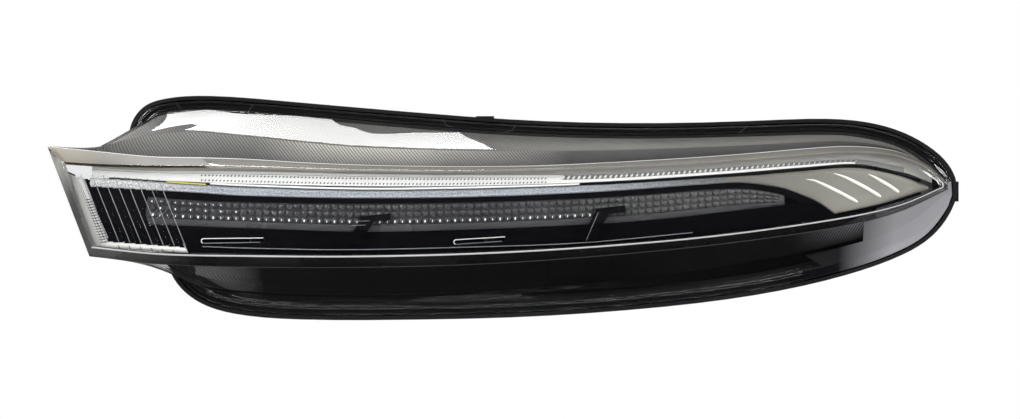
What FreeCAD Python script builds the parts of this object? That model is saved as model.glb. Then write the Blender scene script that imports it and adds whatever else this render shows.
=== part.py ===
"""Front position lamp of a car: a clear lens with a long raised blade, on a black housing.

The row frame is the lamp's own: +X runs along the lamp towards its pointed outboard end,
+Z is up, and light leaves towards -Y.  The origin is the root of the main locating pin, so
the plane Y = 0 is the plane where the rear bosses meet the car.  Lengths are millimetres.
"""

import FreeCAD, Part
import math
import os
from FreeCAD import Vector

# Depths: where the lens meets the housing, and how far the blade stands in front of that
RIM_DEPTH = 60.0          # mounting plane to the rim of the lens
REACH_LEFT = 50.0         # blade in front of the rim at its square inboard end
REACH_MIDDLE = 38.0       # at the middle of the lamp
REACH_RIGHT = 10.0        # at the pointed outboard end
SWEEP_LEFT = -224.0       # stations where the three reaches are measured
SWEEP_RIGHT = 222.0

# Outer lens
LENS_WALL = 2.4
BEVEL_DEPTH = 7.0         # from the blade's face back to the foot of its bevel
CROWN = 3.0               # bulge of the blade's face across its height
CREASE_SHARE = 0.35       # the crease of the lens wall, as a share of the depth to the rim
TIP_HEIGHT = 1.5          # the pointed end is blunt by this much
FLANGE_WIDTH = 4.4        # clear flange that shows round the lens wall
FLANGE_THICKNESS = 2.2
TIP_FLANGE = 1.0          # what is left of the flange's width at the pointed end
TIP_START = 192.0         # station where it starts to narrow
FOOT_THICKNESS = 2.2      # tongue that stands in the sealing channel
FOOT_LENGTH = 4.0

# Housing
HOUSING_WALL = 2.2
LIP_THICKNESS = 1.8       # walls of the sealing channel
LIP_GAP = 0.6             # lens flange to the outer lip
CHANNEL_WIDTH = 5.0
CHANNEL_DEPTH = 10.0
BEAD_GAP = 0.45           # sealing bead to the channel's walls
SHOULDER_DEPTH = 8.0      # ledge inside the tray that the screens stand on
SHOULDER_WIDTH = 3.8
TRAY_DRAFT = 0.6          # the tray narrows by this much towards its back
BACK_EDGE = 3.0           # chamfer round the back wall
BOSS_HEIGHT = 10.0        # back wall to the mounting plane

# Fixings on the back
SCREW_SPACING_X = 280.0
SCREW_SPACING_Z = 32.0
SCREW_HOLE_RADIUS = 2.5   # core hole for a 6 mm thread-forming screw
SCREW_HOLE_DEPTH = 16.0
BOSS_WALL = 4.0
PIN_RADIUS = 4.0
PIN_LENGTH = 12.0
PIN_CHAMFER = 1.2
PIN_PAD_RADIUS = 8.0
SLOT_PIN_X = 100.0        # second locating pin, on the line of the first
BACK_RIB = 1.8
BACK_RIB_HEIGHT = 6.0

# Clearances
SEAT = 0.3                # pieces that rest on a curved face
FIT = 0.15                # pieces that fit beside a flat face

# Inner pieces: distance of each behind the blade's face
GUIDE_FRONT = 7.5
GUIDE_THICKNESS = 5.0
TRIM_FRONT = 8.8
TRIM_THICKNESS = 2.9
RIB_HEIGHT = 1.0          # raised ribs on the wing of the trim
BEZEL_FRONT = 12.0
BEZEL_THICKNESS = 2.0
BEZEL_RIGHT = 205.0
BEZEL_TOP_GAP = 1.6       # bezel to the lines of the light guide and the blade
BEZEL_BOTTOM_GAP = 1.2
BEZEL_SIDE_GAP = 3.6      # bezel to the lens wall at the square end
TRIM_SIDE_GAP = 0.6       # bright frame to the edge line of the blade there
BEAD_HEIGHT = 0.8
CLIP_THICKNESS = 1.7
OPTIC_CREST = 0.9         # crest of the optic's rows in front of the bezel
OPTIC_FLANGE = 1.6
OPTIC_LEFT = -177.0
OPTIC_RIGHT = 136.0
OPTIC_LIP_HEIGHT = 0.24   # plain lip, as a share of the band's height
OPTIC_OVERLAP = 1.2       # flange behind the edge of the window
REFLECTOR_LENGTH = 9.5
REFLECTOR_WALL = 1.4
BOARD_THICKNESS = 1.0
SINK_THICKNESS = 2.4
SINK_MARGIN = 3.0
FIN_THICKNESS = 1.4
FIN_LENGTH = 6.0
FLUTE_FRONT = 3.6
FLUTE_PLATE = 1.4
FLUTE_PITCH = 5.2
FLUTE_HEIGHT = 0.8
FLUTE_CORNERS = [(-211.0, 17.4), (-174.5, 14.6), (-157.2, -19.0), (-197.6, -15.6)]
FLUTE_LEG = 1.6
GUIDE_BOARD = 3.4
GUIDE_BOARD_T = 1.2
SCREEN_THICKNESS = 1.6
SCREEN_MARGIN = 3.2       # screen to the inside of the lens wall
SCREEN_STEP = 3.0         # ledge along the lower screen
SCREEN_FOOT = 2.6         # screen's rear edge inside the tray wall
SCREEN_RIGHT = 182.0
SCREEN_GAP = 1.0          # between screens that follow each other
UPPER_LEFT = -166.0
LEFT_SCREEN_END = -195.0
LOWER_LEFT = -156.0
TIP_LEFT = 184.0
TIP_GAP = 1.0             # outboard plate to the tray wall
LED_SIZE = 3.0
LED_HEIGHT = 0.8
LED_PITCH = 20.0
LED_LIFT = 0.02

# Screws that hold inner pieces to posts of the housing
POST_RADIUS = 4.0
HEAD_RADIUS = 3.0
HEAD_HEIGHT = 2.0
SHANK_RADIUS = 1.5
SHANK_LENGTH = 8.0
SHANK_CLEARANCE = 0.1

# Electrical inlet and breather on the back wall
SOCKET_X = -62.0
SOCKET_Z = 2.0
SOCKET_WIDTH = 22.0       # inside of the shroud
SOCKET_HEIGHT = 11.0
SOCKET_WALL = 1.6
SOCKET_REACH = 16.0       # shroud behind its flange
SOCKET_FLANGE = 4.0
SOCKET_FLANGE_T = 2.0
SEAL_THICKNESS = 1.2
TERMINALS = 4
TERMINAL_PITCH = 4.2
TERMINAL_WIDTH = 1.5
TERMINAL_REACH = 8.0
DRIVER_LENGTH = 86.0
DRIVER_HEIGHT = 40.0
DRIVER_THICKNESS = 1.6
DRIVER_STANDOFF = 6.0
COIL_SIZE = 12.0
COIL_HEIGHT = 6.0
CHIP_SIZE = 9.0
CHIP_HEIGHT = 1.6
CAN_RADIUS = 4.0
CAN_HEIGHT = 9.0
CAN_PITCH = 9.0
VENT_X = 52.0
VENT_Z = 0.0
VENT_BORE = 2.5
VENT_WALL = 1.6
VENT_SPIGOT = 7.0
VENT_CAP_WALL = 1.8
VENT_CAP_SKIRT = 6.0

# Lines of the lamp seen from the front, as (x, z) points from the left to the right
RIM_TOP = [(-190.5, 36.2), (-188.5, 44.8), (-182.5, 51.8), (-172.5, 55.4), (-150.0, 56.8), (-115.0, 54.4),
           (-55.0, 49.2), (5.0, 44.8), (65.0, 43.2), (125.0, 44.5), (155.0, 45.4), (175.0, 44.2),
           (195.0, 39.2), (210.0, 31.2), (219.0, 22.8), (223.0, 14.8)]
RIM_BOTTOM = [(-170.5, -29.2), (-165.0, -38.8), (-155.0, -46.6), (-135.0, -52.6), (-105.0, -55.0),
              (-55.0, -55.2), (5.0, -53.8), (65.0, -49.8), (125.0, -42.4), (170.0, -32.2),
              (195.0, -23.2), (210.0, -14.2), (220.0, -1.8), (223.5, 6.8)]
RIM_LEFT = [(-180.0, -8.0), (-187.6, 14.0)]
FACE_TOP = [(-216.6, 22.7), (-198.3, 21.6), (-174.3, 21.1), (-150.2, 21.1), (-126.0, 20.8), (-101.8, 20.1),
            (-72.8, 19.4), (-34.0, 19.0), (-14.6, 19.2), (14.6, 19.9), (44.0, 20.9), (63.7, 21.8),
            (83.3, 22.8), (103.2, 24.2), (122.9, 25.7), (142.8, 27.3), (157.9, 28.5), (167.8, 29.0),
            (177.8, 28.8), (187.8, 27.6), (198.3, 24.9), (205.0, 21.6), (211.0, 17.0), (215.0, 12.9)]
FACE_BOTTOM = [(-202.4, -18.3), (-169.3, -21.6), (-130.7, -22.5), (-72.8, -22.8), (-14.6, -21.4),
               (44.0, -18.1), (103.2, -12.8), (163.3, -4.5), (193.6, 2.2), (215.0, 11.0)]
BASE_TOP = [(-224.9, 30.8), (-199.6, 28.2), (-174.7, 25.7), (-150.6, 25.2), (-126.5, 24.4), (-102.3, 22.9),
            (-73.2, 21.7), (-34.2, 21.0), (-14.7, 21.0), (14.7, 21.5), (44.2, 22.8), (64.0, 23.9),
            (83.8, 25.1), (103.7, 26.5), (123.7, 28.1), (143.8, 29.9), (158.8, 31.0), (168.8, 31.3),
            (183.9, 30.4), (194.0, 28.4), (204.2, 24.6), (212.0, 19.4), (218.4, 12.3)]
BASE_BOTTOM = [(-204.5, -22.8), (-170.1, -26.5), (-131.3, -28.0), (-73.1, -28.2), (-14.7, -26.7),
               (44.2, -22.8), (103.7, -17.0), (164.0, -8.4), (194.6, -0.2), (218.4, 10.5)]
CREASE_TOP = [(-205.4, 29.9), (-188.1, 35.1), (-163.4, 39.2), (-133.7, 37.2), (-104.0, 34.2), (-74.3, 31.6),
              (-14.9, 29.8), (44.7, 30.1), (104.6, 32.1), (144.6, 34.2), (169.7, 34.6), (194.9, 29.7),
              (219.0, 14.0)]
CREASE_BOTTOM = [(-172.6, -26.4), (-158.0, -36.6), (-130.0, -41.5), (-73.0, -43.5), (-15.0, -42.0),
                 (44.0, -38.0), (104.0, -30.5), (164.0, -19.5), (195.0, -9.0), (219.0, 8.6)]
GUIDE_TOP = [(-203.0, 20.4), (-184.0, 19.3), (-166.0, 18.8), (-131.3, 18.6), (-102.0, 18.1), (-73.1, 17.4),
             (-34.0, 16.9), (-14.7, 16.8), (14.7, 16.7), (44.2, 17.1), (64.0, 18.0), (83.8, 19.1),
             (103.7, 20.5), (143.7, 23.4), (173.1, 24.6), (196.0, 20.6)]
GUIDE_BOTTOM = [(-203.0, 16.0), (-184.0, 14.8), (-166.0, 13.7), (-131.3, 12.4), (-73.1, 11.2), (-14.7, 11.5),
                (44.2, 13.5), (103.7, 17.3), (143.7, 20.6), (173.1, 22.4), (196.0, 18.2)]
TRIM_TOP = [(-208.5, 15.6), (-160.6, 12.7), (-131.5, 11.0), (-73.2, 9.3), (-14.7, 10.0), (44.3, 12.1),
            (93.9, 15.1), (123.9, 17.1), (144.0, 18.9), (172.0, 20.6), (194.8, 16.6), (208.6, 11.6)]
TRIM_BOTTOM = [(-206.4, 11.2), (-190.0, 10.2), (-150.9, 7.9), (-131.5, 6.6), (-73.2, 5.4), (-14.7, 6.1),
               (44.3, 8.6), (93.9, 12.1), (114.0, 13.1), (134.0, 10.7), (144.0, 7.4), (154.0, 3.0),
               (161.2, -2.0)]
WING_BOTTOM = [(161.2, -2.0), (184.6, 3.0), (208.6, 10.4)]
OPTIC_TOP = [(-187.0, 7.1), (-151.4, 4.4), (-132.0, 3.7), (-73.5, 2.9), (-14.7, 3.7), (44.4, 5.9),
             (94.2, 9.4), (116.0, 10.4), (134.4, 7.7), (143.0, 4.6)]
OPTIC_LIP = [(-179.0, -7.2), (-131.8, -9.0), (-73.4, -11.0), (-24.5, -10.1), (24.6, -8.1), (64.2, -5.7),
             (94.1, -2.6), (124.2, 0.8), (143.0, 3.0)]
FOLD = [(-150.0, -17.6), (-131.4, -18.3), (-82.9, -19.2), (-24.5, -18.1), (34.4, -16.0), (92.0, -10.8)]

# Smaller features seen from the front
TRIM_FOOT = [(-196.0, -15.4), (-158.0, -18.4)]
TRIM_FOOT_HEIGHT = 3.0
WING_RIBS = [((146.0, 14.9), (152.0, 13.9), (172.6, 3.8)), ((160.0, 18.0), (168.0, 15.3), (184.4, 6.4)),
             ((177.5, 17.6), (183.5, 14.8), (193.6, 8.6))]
RIB_WIDTH = 1.6
BEZEL_SLOTS = [((-149.5, -15.2), (-120.5, -14.9)), ((-26.5, -15.8), (-2.5, -14.4))]
SLOT_HEIGHT = 2.2
CLIPS = [((-77.0, -16.5), (-69.5, -5.0)), ((38.0, -14.5), (45.5, -1.2))]
CLIP_WIDTH = 7.0
CLIP_HEAD = (11.0, 3.2)
SINK_POSTS = [(-128.0, 11.5), (66.0, 15.0), (8.0, -16.5)]
LUG_RADIUS = 5.0
DRIVER_CENTRE = (-50.0, 2.0)
RIM_TABS = [(-12.5, 9.0)]
RIM_TAB_REACH = 0.9
END_TAB = (4.0, 10.0)
END_TAB_REACH = 1.6

RIM_Y = -RIM_DEPTH
BACK_Y = -BOSS_HEIGHT
FLOOR_Y = BACK_Y - HOUSING_WALL
CHANNEL_IN = LIP_THICKNESS + CHANNEL_WIDTH          # inset of the channel's inner wall
WALL_BASE = LIP_THICKNESS + LIP_GAP + FLANGE_WIDTH  # inset where the lens wall starts
STATIONS = 11
OPTIC_BACK = BEZEL_FRONT + BEZEL_THICKNESS + SEAT + OPTIC_FLANGE
REFLECTOR_FRONT = OPTIC_BACK + SEAT
BOARD_FRONT = REFLECTOR_FRONT + REFLECTOR_LENGTH + SEAT
SINK_FRONT = BOARD_FRONT + BOARD_THICKNESS + SEAT
SINK_BACK = SINK_FRONT + SINK_THICKNESS
SCREEN_FRONT = GUIDE_FRONT + GUIDE_THICKNESS + SEAT


# Lines and depths

def sweep(x):
    """Depth of the blade's face at a station: the parabola through the three reaches."""
    left, right = SWEEP_LEFT, SWEEP_RIGHT
    fall_left = (REACH_MIDDLE - REACH_LEFT) / left
    fall_right = (REACH_MIDDLE - REACH_RIGHT) / right
    bend = (fall_right - fall_left) / (right - left)
    return RIM_Y - REACH_MIDDLE + (fall_left - bend * left) * x + bend * x * x


def sweep_slope(x):
    """Slope of the blade's face, seen from above."""
    step = 0.5
    return (sweep(x + step) - sweep(x - step)) / (2 * step)


def height(line, x):
    """Height of a line at a station, on the smooth cubic through its points."""
    last = len(line) - 1

    def slope(i):
        a, b = line[max(i - 1, 0)], line[min(i + 1, last)]
        return (b[1] - a[1]) / (b[0] - a[0])

    if x <= line[0][0]:
        return line[0][1] + slope(0) * (x - line[0][0])
    if x >= line[last][0]:
        return line[last][1] + slope(last) * (x - line[last][0])
    i = max(k for k in range(last) if line[k][0] <= x)
    (x0, z0), (x1, z1) = line[i], line[i + 1]
    span = x1 - x0
    t = (x - x0) / span
    bump = t * t * (3 - 2 * t)
    return (z0 * (1 - bump) + z1 * bump + slope(i) * span * t * (1 - t) ** 2
            + slope(i + 1) * span * t * t * (t - 1))


def spread(start, end, count=STATIONS):
    """Evenly spaced stations from start to end."""
    return [start + (end - start) * i / (count - 1) for i in range(count)]


def tip_station(top, bottom, gap):
    """Last station where two closing lines are still a gap apart."""
    low, high = 0.0, min(top[-1][0], bottom[-1][0])
    for _ in range(40):
        middle = (low + high) / 2
        if height(top, middle) - height(bottom, middle) > gap:
            low = middle
        else:
            high = middle
    return low


def crease_depth(x):
    """Depth of the crease in the lens wall."""
    return RIM_Y + CREASE_SHARE * (sweep(x) + BEVEL_DEPTH - RIM_Y)


# Edges, faces and solids

def smooth_edge(points):
    """A line through two points, or a smooth curve through more."""
    if len(points) == 2:
        return Part.LineSegment(points[0], points[1]).toShape()
    curve = Part.BSplineCurve()
    curve.interpolate(Points=points)
    return curve.toShape()


def band(ring, other):
    """Faces between two rings of four edges: one flat face where they share a plane."""
    depths = [v.Y for edge in ring + other for v in edge.Vertexes]
    if max(depths) - min(depths) < 1e-6:
        return Part.makeFace([Part.Wire(ring), Part.Wire(other)], "Part::FaceMakerBullseye").Faces
    return [Part.makeRuledSurface(a, b) for a, b in zip(ring, other)]


def solid_from(faces):
    """Sews faces into one closed solid."""
    sewn = Part.Compound(faces)
    sewn.sewShape()
    solid = Part.makeSolid(sewn.Shells[0])
    return solid if solid.Volume > 0 else solid.reversed()


def wrapped(section, caps=False):
    """Solid made by carrying a section of (inset, depth) points round the rim outline."""
    rings = [rim_ring(inset, depth) for inset, depth in section]
    closing = [] if caps else [(rings[-1], rings[0])]
    faces = [f for a, b in list(zip(rings, rings[1:])) + closing for f in band(a, b)]
    if caps:
        faces += [Part.Face(Part.Wire(rings[0])), Part.Face(Part.Wire(rings[-1]))]
    return solid_from(faces)


def rim_line(line, inset):
    """A long side of the rim moved square to itself, up where the inset is positive."""
    moved = []
    for before, (x, z), after in zip(line, line[1:], line[2:]):
        run = Vector(after[0] - before[0], 0, after[1] - before[1]).normalize()
        moved.append((x - run.z * inset, z + run.x * inset))
    return moved


def rim_ring(inset, depth, tip=None):
    """Outline of the rim as four edges at a depth, moved in by an inset that may differ at the tip."""
    tip = inset if tip is None else tip
    end = max(RIM_TOP[-1][0], RIM_BOTTOM[-1][0])
    left = [RIM_BOTTOM[0]] + RIM_LEFT + [RIM_TOP[0]]
    sides = [RIM_TOP, [RIM_TOP[-1], RIM_BOTTOM[-1]], RIM_BOTTOM[::-1], left]
    loop = [p for side in sides for p in side[:-1]]
    count = len(loop)
    moved = []
    for i, (x, z) in enumerate(loop):
        before, after = loop[i - 1], loop[(i + 1) % count]
        run = Vector(after[0] - before[0], 0, after[1] - before[1]).normalize()
        share = max(0.0, (x - TIP_START) / (end - TIP_START))
        moved.append(Vector(x, depth, z) + Vector(run.z, 0, -run.x) * (inset + (tip - inset) * share))
    edges, start = [], 0
    for side in sides:
        edges.append(smooth_edge([moved[(start + k) % count] for k in range(len(side))]))
        start += len(side) - 1
    return edges


def blade_corners(top, bottom, inset):
    """Stations of the square end's two corners and of the tip, for an outline moved in by an inset."""
    lean = (bottom[0][0] - top[0][0]) / (top[0][1] - bottom[0][1])
    left_top = top[0][0] + inset * (1 + lean)
    left_bottom = bottom[0][0] + inset * (1 - lean)
    return left_top, left_bottom, tip_station(top, bottom, 2 * inset + TIP_HEIGHT)


def blade_ring(top, bottom, inset, depth):
    """Outline of the blade as four edges; depth gives Y at a station."""
    left_top, left_bottom, tip = blade_corners(top, bottom, inset)
    upper = [Vector(x, depth(x), height(top, x) - inset) for x in spread(left_top, tip)]
    lower = [Vector(x, depth(x), height(bottom, x) + inset) for x in spread(tip, left_bottom)]
    return [smooth_edge(p) for p in (upper, [upper[-1], lower[0]], lower, [lower[-1], upper[0]])]


def blade_face(inset, behind):
    """Crowned face of the blade, and its four edges in ring order."""
    left_top, left_bottom, tip = blade_corners(FACE_TOP, FACE_BOTTOM, inset)
    tallest = FACE_TOP[0][1] - FACE_BOTTOM[0][1]
    rows = []
    for a, b in zip(spread(left_top, tip), spread(left_bottom, tip)):
        upper, lower = height(FACE_TOP, a) - inset, height(FACE_BOTTOM, b) + inset
        row = []
        for share in spread(0.0, 1.0, 5):
            x = a + (b - a) * share
            bulge = CROWN * (upper - lower) / tallest * 4 * share * (1 - share)
            row.append(Vector(x, sweep(x) + behind - bulge, upper + (lower - upper) * share))
        rows.append(row)
    surface = Part.BSplineSurface()
    surface.interpolate(rows)
    face = surface.toShape()
    corners = [rows[0][0], rows[-1][0], rows[-1][-1], rows[0][-1]]

    def side(a, b):
        def miss(edge):
            ends = [v.Point for v in edge.Vertexes]
            return min(ends[0].distanceToPoint(a) + ends[1].distanceToPoint(b),
                       ends[1].distanceToPoint(a) + ends[0].distanceToPoint(b))
        return min(face.Edges, key=miss)

    return face, [side(corners[i], corners[(i + 1) % 4]) for i in range(4)]


def slab(front, back):
    """Everything between two depths behind the blade's face."""
    ends = [SWEEP_LEFT, SWEEP_RIGHT]
    middle = sum(ends) / 2
    tall = 2 * (RIM_TOP[4][1] - RIM_BOTTOM[5][1])

    def arc(behind):
        # the middle pole of a parabola lies where its end tangents meet
        pole = sweep(ends[0]) + sweep_slope(ends[0]) * (middle - ends[0])
        curve = Part.BezierCurve()
        curve.setPoles([Vector(ends[0], sweep(ends[0]) + behind, -tall / 2),
                        Vector(middle, pole + behind, -tall / 2),
                        Vector(ends[1], sweep(ends[1]) + behind, -tall / 2)])
        return curve.toShape()

    near, far = arc(front), arc(back)
    sides = [Part.LineSegment(near.Vertexes[k].Point, far.Vertexes[k].Point).toShape() for k in (0, 1)]
    return Part.Face(Part.Wire(Part.sortEdges([near, far] + sides)[0])).extrude(Vector(0, 0, tall))


def outline(*sides):
    """Closed outline in the front plane from lines of (x, z) points that follow each other."""
    sides = [list(side) for side in sides]
    edges = []
    for i, side in enumerate(sides):
        edges.append(smooth_edge([Vector(x, 0, z) for x, z in side]))
        here, there = side[-1], sides[(i + 1) % len(sides)][0]
        if math.dist(here, there) > 1e-6:
            edges.append(smooth_edge([Vector(x, 0, z) for x, z in (here, there)]))
    return Part.Wire(edges)


def swept(wire, front, back, holes=()):
    """The outline carried back between two depths behind the blade's face."""
    deep = RIM_DEPTH + REACH_LEFT + CROWN

    def prism(w):
        return Part.Face(w).extrude(Vector(0, 2 * deep, 0)).translated(Vector(0, -2 * deep, 0))

    body = prism(wire)
    for hole in holes:
        body = body.cut(prism(hole))
    return one_solid(body.common(slab(front, back)))


def one_solid(shape):
    """The single solid of a boolean result, with needless seams removed."""
    solids = shape.removeSplitter().Solids
    return solids[0] if len(solids) == 1 else Part.Compound(solids)


def shifted(line, rise, start=None, end=None, count=STATIONS):
    """Points of a line moved up or down, between two stations."""
    start = line[0][0] if start is None else start
    end = line[-1][0] if end is None else end
    return [(x, height(line, x) + rise) for x in spread(start, end, count)]


def slanted_bar(a, b, width):
    """Outline of a straight bar between two points."""
    run = Vector(b[0] - a[0], 0, b[1] - a[1]).normalize()
    side = Vector(-run.z, 0, run.x) * (width / 2)
    ends = [Vector(a[0], 0, a[1]), Vector(b[0], 0, b[1])]
    corners = [ends[0] + side, ends[1] + side, ends[1] - side, ends[0] - side]
    return Part.makePolygon(corners + corners[:1])


def leaning_bar(a, b, width):
    """Outline of a leaning bar with level ends."""
    corners = [Vector(x, 0, z) for x, z in ((a[0] - width / 2, a[1]), (b[0] - width / 2, b[1]),
                                            (b[0] + width / 2, b[1]), (a[0] + width / 2, a[1]))]
    return Part.makePolygon(corners + corners[:1])


def cylinder(x, z, y, length, radius):
    """Round bar along +Y from a depth."""
    return Part.makeCylinder(radius, length, Vector(x, y, z), Vector(0, 1, 0))


def block(centre_x, centre_z, y, width, depth, tall):
    """Block centred on a point of the front plane, from a depth backwards."""
    return Part.makeBox(width, depth, tall, Vector(centre_x - width / 2, y, centre_z - tall / 2))


# Lens, seal and housing

def outer_lens():
    """Blade face, bevel, creased wall, flange and foot, all moulded as one shell."""
    flange_back = RIM_Y + FLANGE_THICKNESS
    foot_end = flange_back + FOOT_LENGTH
    foot_out = LIP_THICKNESS + (CHANNEL_WIDTH - FOOT_THICKNESS) / 2
    flange_out = LIP_THICKNESS + LIP_GAP

    def skin(inset):
        face, ring = blade_face(inset, inset)
        base = blade_ring(BASE_TOP, BASE_BOTTOM, inset, lambda x: sweep(x) + BEVEL_DEPTH + inset)
        crease = blade_ring(CREASE_TOP, CREASE_BOTTOM, inset, lambda x: crease_depth(x) + inset / 2)
        return face, [ring, base, crease]

    outer_face, outer = skin(0.0)
    inner_face, inner = skin(LENS_WALL)
    base = [rim_ring(WALL_BASE, RIM_Y, flange_out + TIP_FLANGE)]
    foot = base + [rim_ring(inset, depth) for inset, depth in (
        (flange_out, RIM_Y), (flange_out, flange_back), (foot_out, flange_back),
        (foot_out, foot_end), (foot_out + FOOT_THICKNESS, foot_end), (foot_out + FOOT_THICKNESS, flange_back),
        (WALL_BASE + LENS_WALL, flange_back))]
    rings = outer + foot + inner[::-1]
    faces = [outer_face, inner_face] + [f for a, b in zip(rings, rings[1:]) for f in band(a, b)]
    return solid_from(faces)


def lens_seal():
    """Bead of sealant that fills the bottom of the channel, under the foot of the lens."""
    top = RIM_Y + FLANGE_THICKNESS + FOOT_LENGTH + FIT
    bottom = RIM_Y + CHANNEL_DEPTH
    near, far = LIP_THICKNESS + BEAD_GAP, CHANNEL_IN - BEAD_GAP
    return wrapped([(near, bottom), (near, top), (far, top), (far, bottom)])


def housing_tray():
    """Tray with the sealing channel round its front."""
    inner_lip = RIM_Y + FLANGE_THICKNESS + FIT
    inside = CHANNEL_IN + LIP_THICKNESS
    shoulder = RIM_Y + SHOULDER_DEPTH
    under = RIM_Y + CHANNEL_DEPTH + HOUSING_WALL
    tray = inside + SHOULDER_WIDTH
    return wrapped([
        (tray + TRAY_DRAFT + BACK_EDGE, FLOOR_Y), (tray + TRAY_DRAFT, FLOOR_Y - BACK_EDGE), (tray, shoulder),
        (inside, shoulder), (inside, inner_lip), (CHANNEL_IN, inner_lip), (CHANNEL_IN, RIM_Y + CHANNEL_DEPTH),
        (LIP_THICKNESS, RIM_Y + CHANNEL_DEPTH), (LIP_THICKNESS, RIM_Y), (0.0, RIM_Y), (0.0, under),
        (tray - HOUSING_WALL, under), (tray - HOUSING_WALL + TRAY_DRAFT, BACK_Y - BACK_EDGE),
        (tray - HOUSING_WALL + TRAY_DRAFT + BACK_EDGE, BACK_Y)], caps=True)


def screw_places():
    """Centres of the four screw bosses on the back."""
    return [(sx * SCREW_SPACING_X / 2, sz * SCREW_SPACING_Z / 2) for sx in (-1, 1) for sz in (-1, 1)]


def locating_pin(x):
    """Round pin with a chamfered end on its pad, along the line through the origin."""
    pad = cylinder(x, 0, BACK_Y - HOUSING_WALL / 2, BOSS_HEIGHT + HOUSING_WALL / 2, PIN_PAD_RADIUS)
    pin = cylinder(x, 0, -BOSS_HEIGHT / 2, BOSS_HEIGHT / 2 + PIN_LENGTH, PIN_RADIUS)
    rim = [e for e in pin.Edges if abs(e.BoundBox.YMin - PIN_LENGTH) < 1e-6 and len(e.Vertexes) == 1]
    return pad.fuse(pin.makeChamfer(PIN_CHAMFER, rim))


def sink_post_top(x):
    """Depth of a post's end under the lug of the heat sink."""
    return max(sweep(x - LUG_RADIUS), sweep(x + LUG_RADIUS)) + SINK_BACK + SEAT


def housing():
    """Tray with its bosses, pins, ribs, posts, inlet hole and breather spigot."""
    body = housing_tray()
    root = HOUSING_WALL / 2
    boss = SCREW_HOLE_RADIUS + BOSS_WALL
    inner_boss = SCREW_HOLE_DEPTH - BOSS_HEIGHT - HOUSING_WALL + BOSS_WALL
    adds = [locating_pin(0.0), locating_pin(SLOT_PIN_X)]
    for x, z in screw_places():
        adds.append(cylinder(x, z, FLOOR_Y - inner_boss, inner_boss + HOUSING_WALL + BOSS_HEIGHT, boss))
    rib_y = BACK_Y - root
    rib_run = SCREW_SPACING_X + 2 * boss
    for z in (-SCREW_SPACING_Z / 2, SCREW_SPACING_Z / 2):
        adds.append(block(0, z, rib_y, rib_run - 2 * boss, BACK_RIB_HEIGHT + root, BACK_RIB))
    for x in (-SCREW_SPACING_X / 2, 0.0, SLOT_PIN_X, SCREW_SPACING_X / 2):
        adds.append(block(x, 0, rib_y, BACK_RIB, BACK_RIB_HEIGHT + root, SCREW_SPACING_Z))
    for x, z in SINK_POSTS:
        adds.append(cylinder(x, z, sink_post_top(x), FLOOR_Y + root - sink_post_top(x), POST_RADIUS))
    for x, z in driver_posts():
        adds.append(cylinder(x, z, FLOOR_Y - DRIVER_STANDOFF, DRIVER_STANDOFF + root, POST_RADIUS))
    adds.append(cylinder(VENT_X, VENT_Z, BACK_Y - root, VENT_SPIGOT + root, VENT_BORE + VENT_WALL))
    adds += rim_tabs()
    cuts = [cylinder(x, z, -SCREW_HOLE_DEPTH, SCREW_HOLE_DEPTH, SCREW_HOLE_RADIUS) for x, z in screw_places()]
    drilled = [(x, z, sink_post_top(x)) for x, z in SINK_POSTS]
    drilled += [(x, z, driver_back()) for x, z in driver_posts()]
    for x, z, y in drilled:
        cuts.append(cylinder(x, z, y, SHANK_LENGTH + SHANK_CLEARANCE, SHANK_RADIUS + SHANK_CLEARANCE))
    cuts.append(cylinder(VENT_X, VENT_Z, FLOOR_Y - root, 2 * root + HOUSING_WALL + VENT_SPIGOT, VENT_BORE))
    cuts.append(block(SOCKET_X, SOCKET_Z, FLOOR_Y - root, SOCKET_WIDTH + 2 * FIT, 2 * HOUSING_WALL + root,
                      SOCKET_HEIGHT + 2 * FIT))
    return one_solid(body.fuse(adds).cut(cuts))


def rim_tabs():
    """Small tabs on the outer lip: one on the top edge and one at the outboard end."""
    tabs = []
    tab_depth = CHANNEL_DEPTH / 2
    for x, width in RIM_TABS:
        z = height(RIM_TOP, x)
        tabs.append(block(x, z, RIM_Y + LIP_THICKNESS, width, tab_depth, 2 * RIM_TAB_REACH))
    low, tall = END_TAB
    edge = RIM_TOP[-1][0]
    tabs.append(block(edge, low + tall / 2, RIM_Y + LIP_THICKNESS, 2 * END_TAB_REACH, tab_depth, tall))
    return tabs


# Screens that close the lamp's inside off behind the lens walls

def screen(path, left, right, rise):
    """Thin wall whose section at a station is a path of (depth, height) points, lofted along the lamp."""
    sections = []
    for x in spread(left, right, 13):
        front = [Vector(x, y, z) for y, z in path(x)]
        back = [p + Vector(0, SCREEN_THICKNESS, rise * SCREEN_THICKNESS) for p in reversed(front)]
        sections.append(Part.makePolygon(front + back + front[:1]))
    return Part.makeLoft(sections, True, False)


def upper_path(x):
    """Section of the upper screen, from behind the light guide up to the shoulder of the tray."""
    foot = RIM_Y + SHOULDER_DEPTH - SEAT - SCREEN_THICKNESS
    inside = CHANNEL_IN + LIP_THICKNESS + SCREEN_FOOT
    return [(sweep(x) + SCREEN_FRONT, height(GUIDE_BOTTOM, x) - SEAT),
            (sweep(x) + SCREEN_FRONT, height(GUIDE_TOP, x) + SCREEN_THICKNESS),
            (crease_depth(x) + SCREEN_MARGIN, height(CREASE_TOP, x) - LENS_WALL - SCREEN_MARGIN),
            (foot, height(rim_line(RIM_TOP, -inside), x))]


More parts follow.
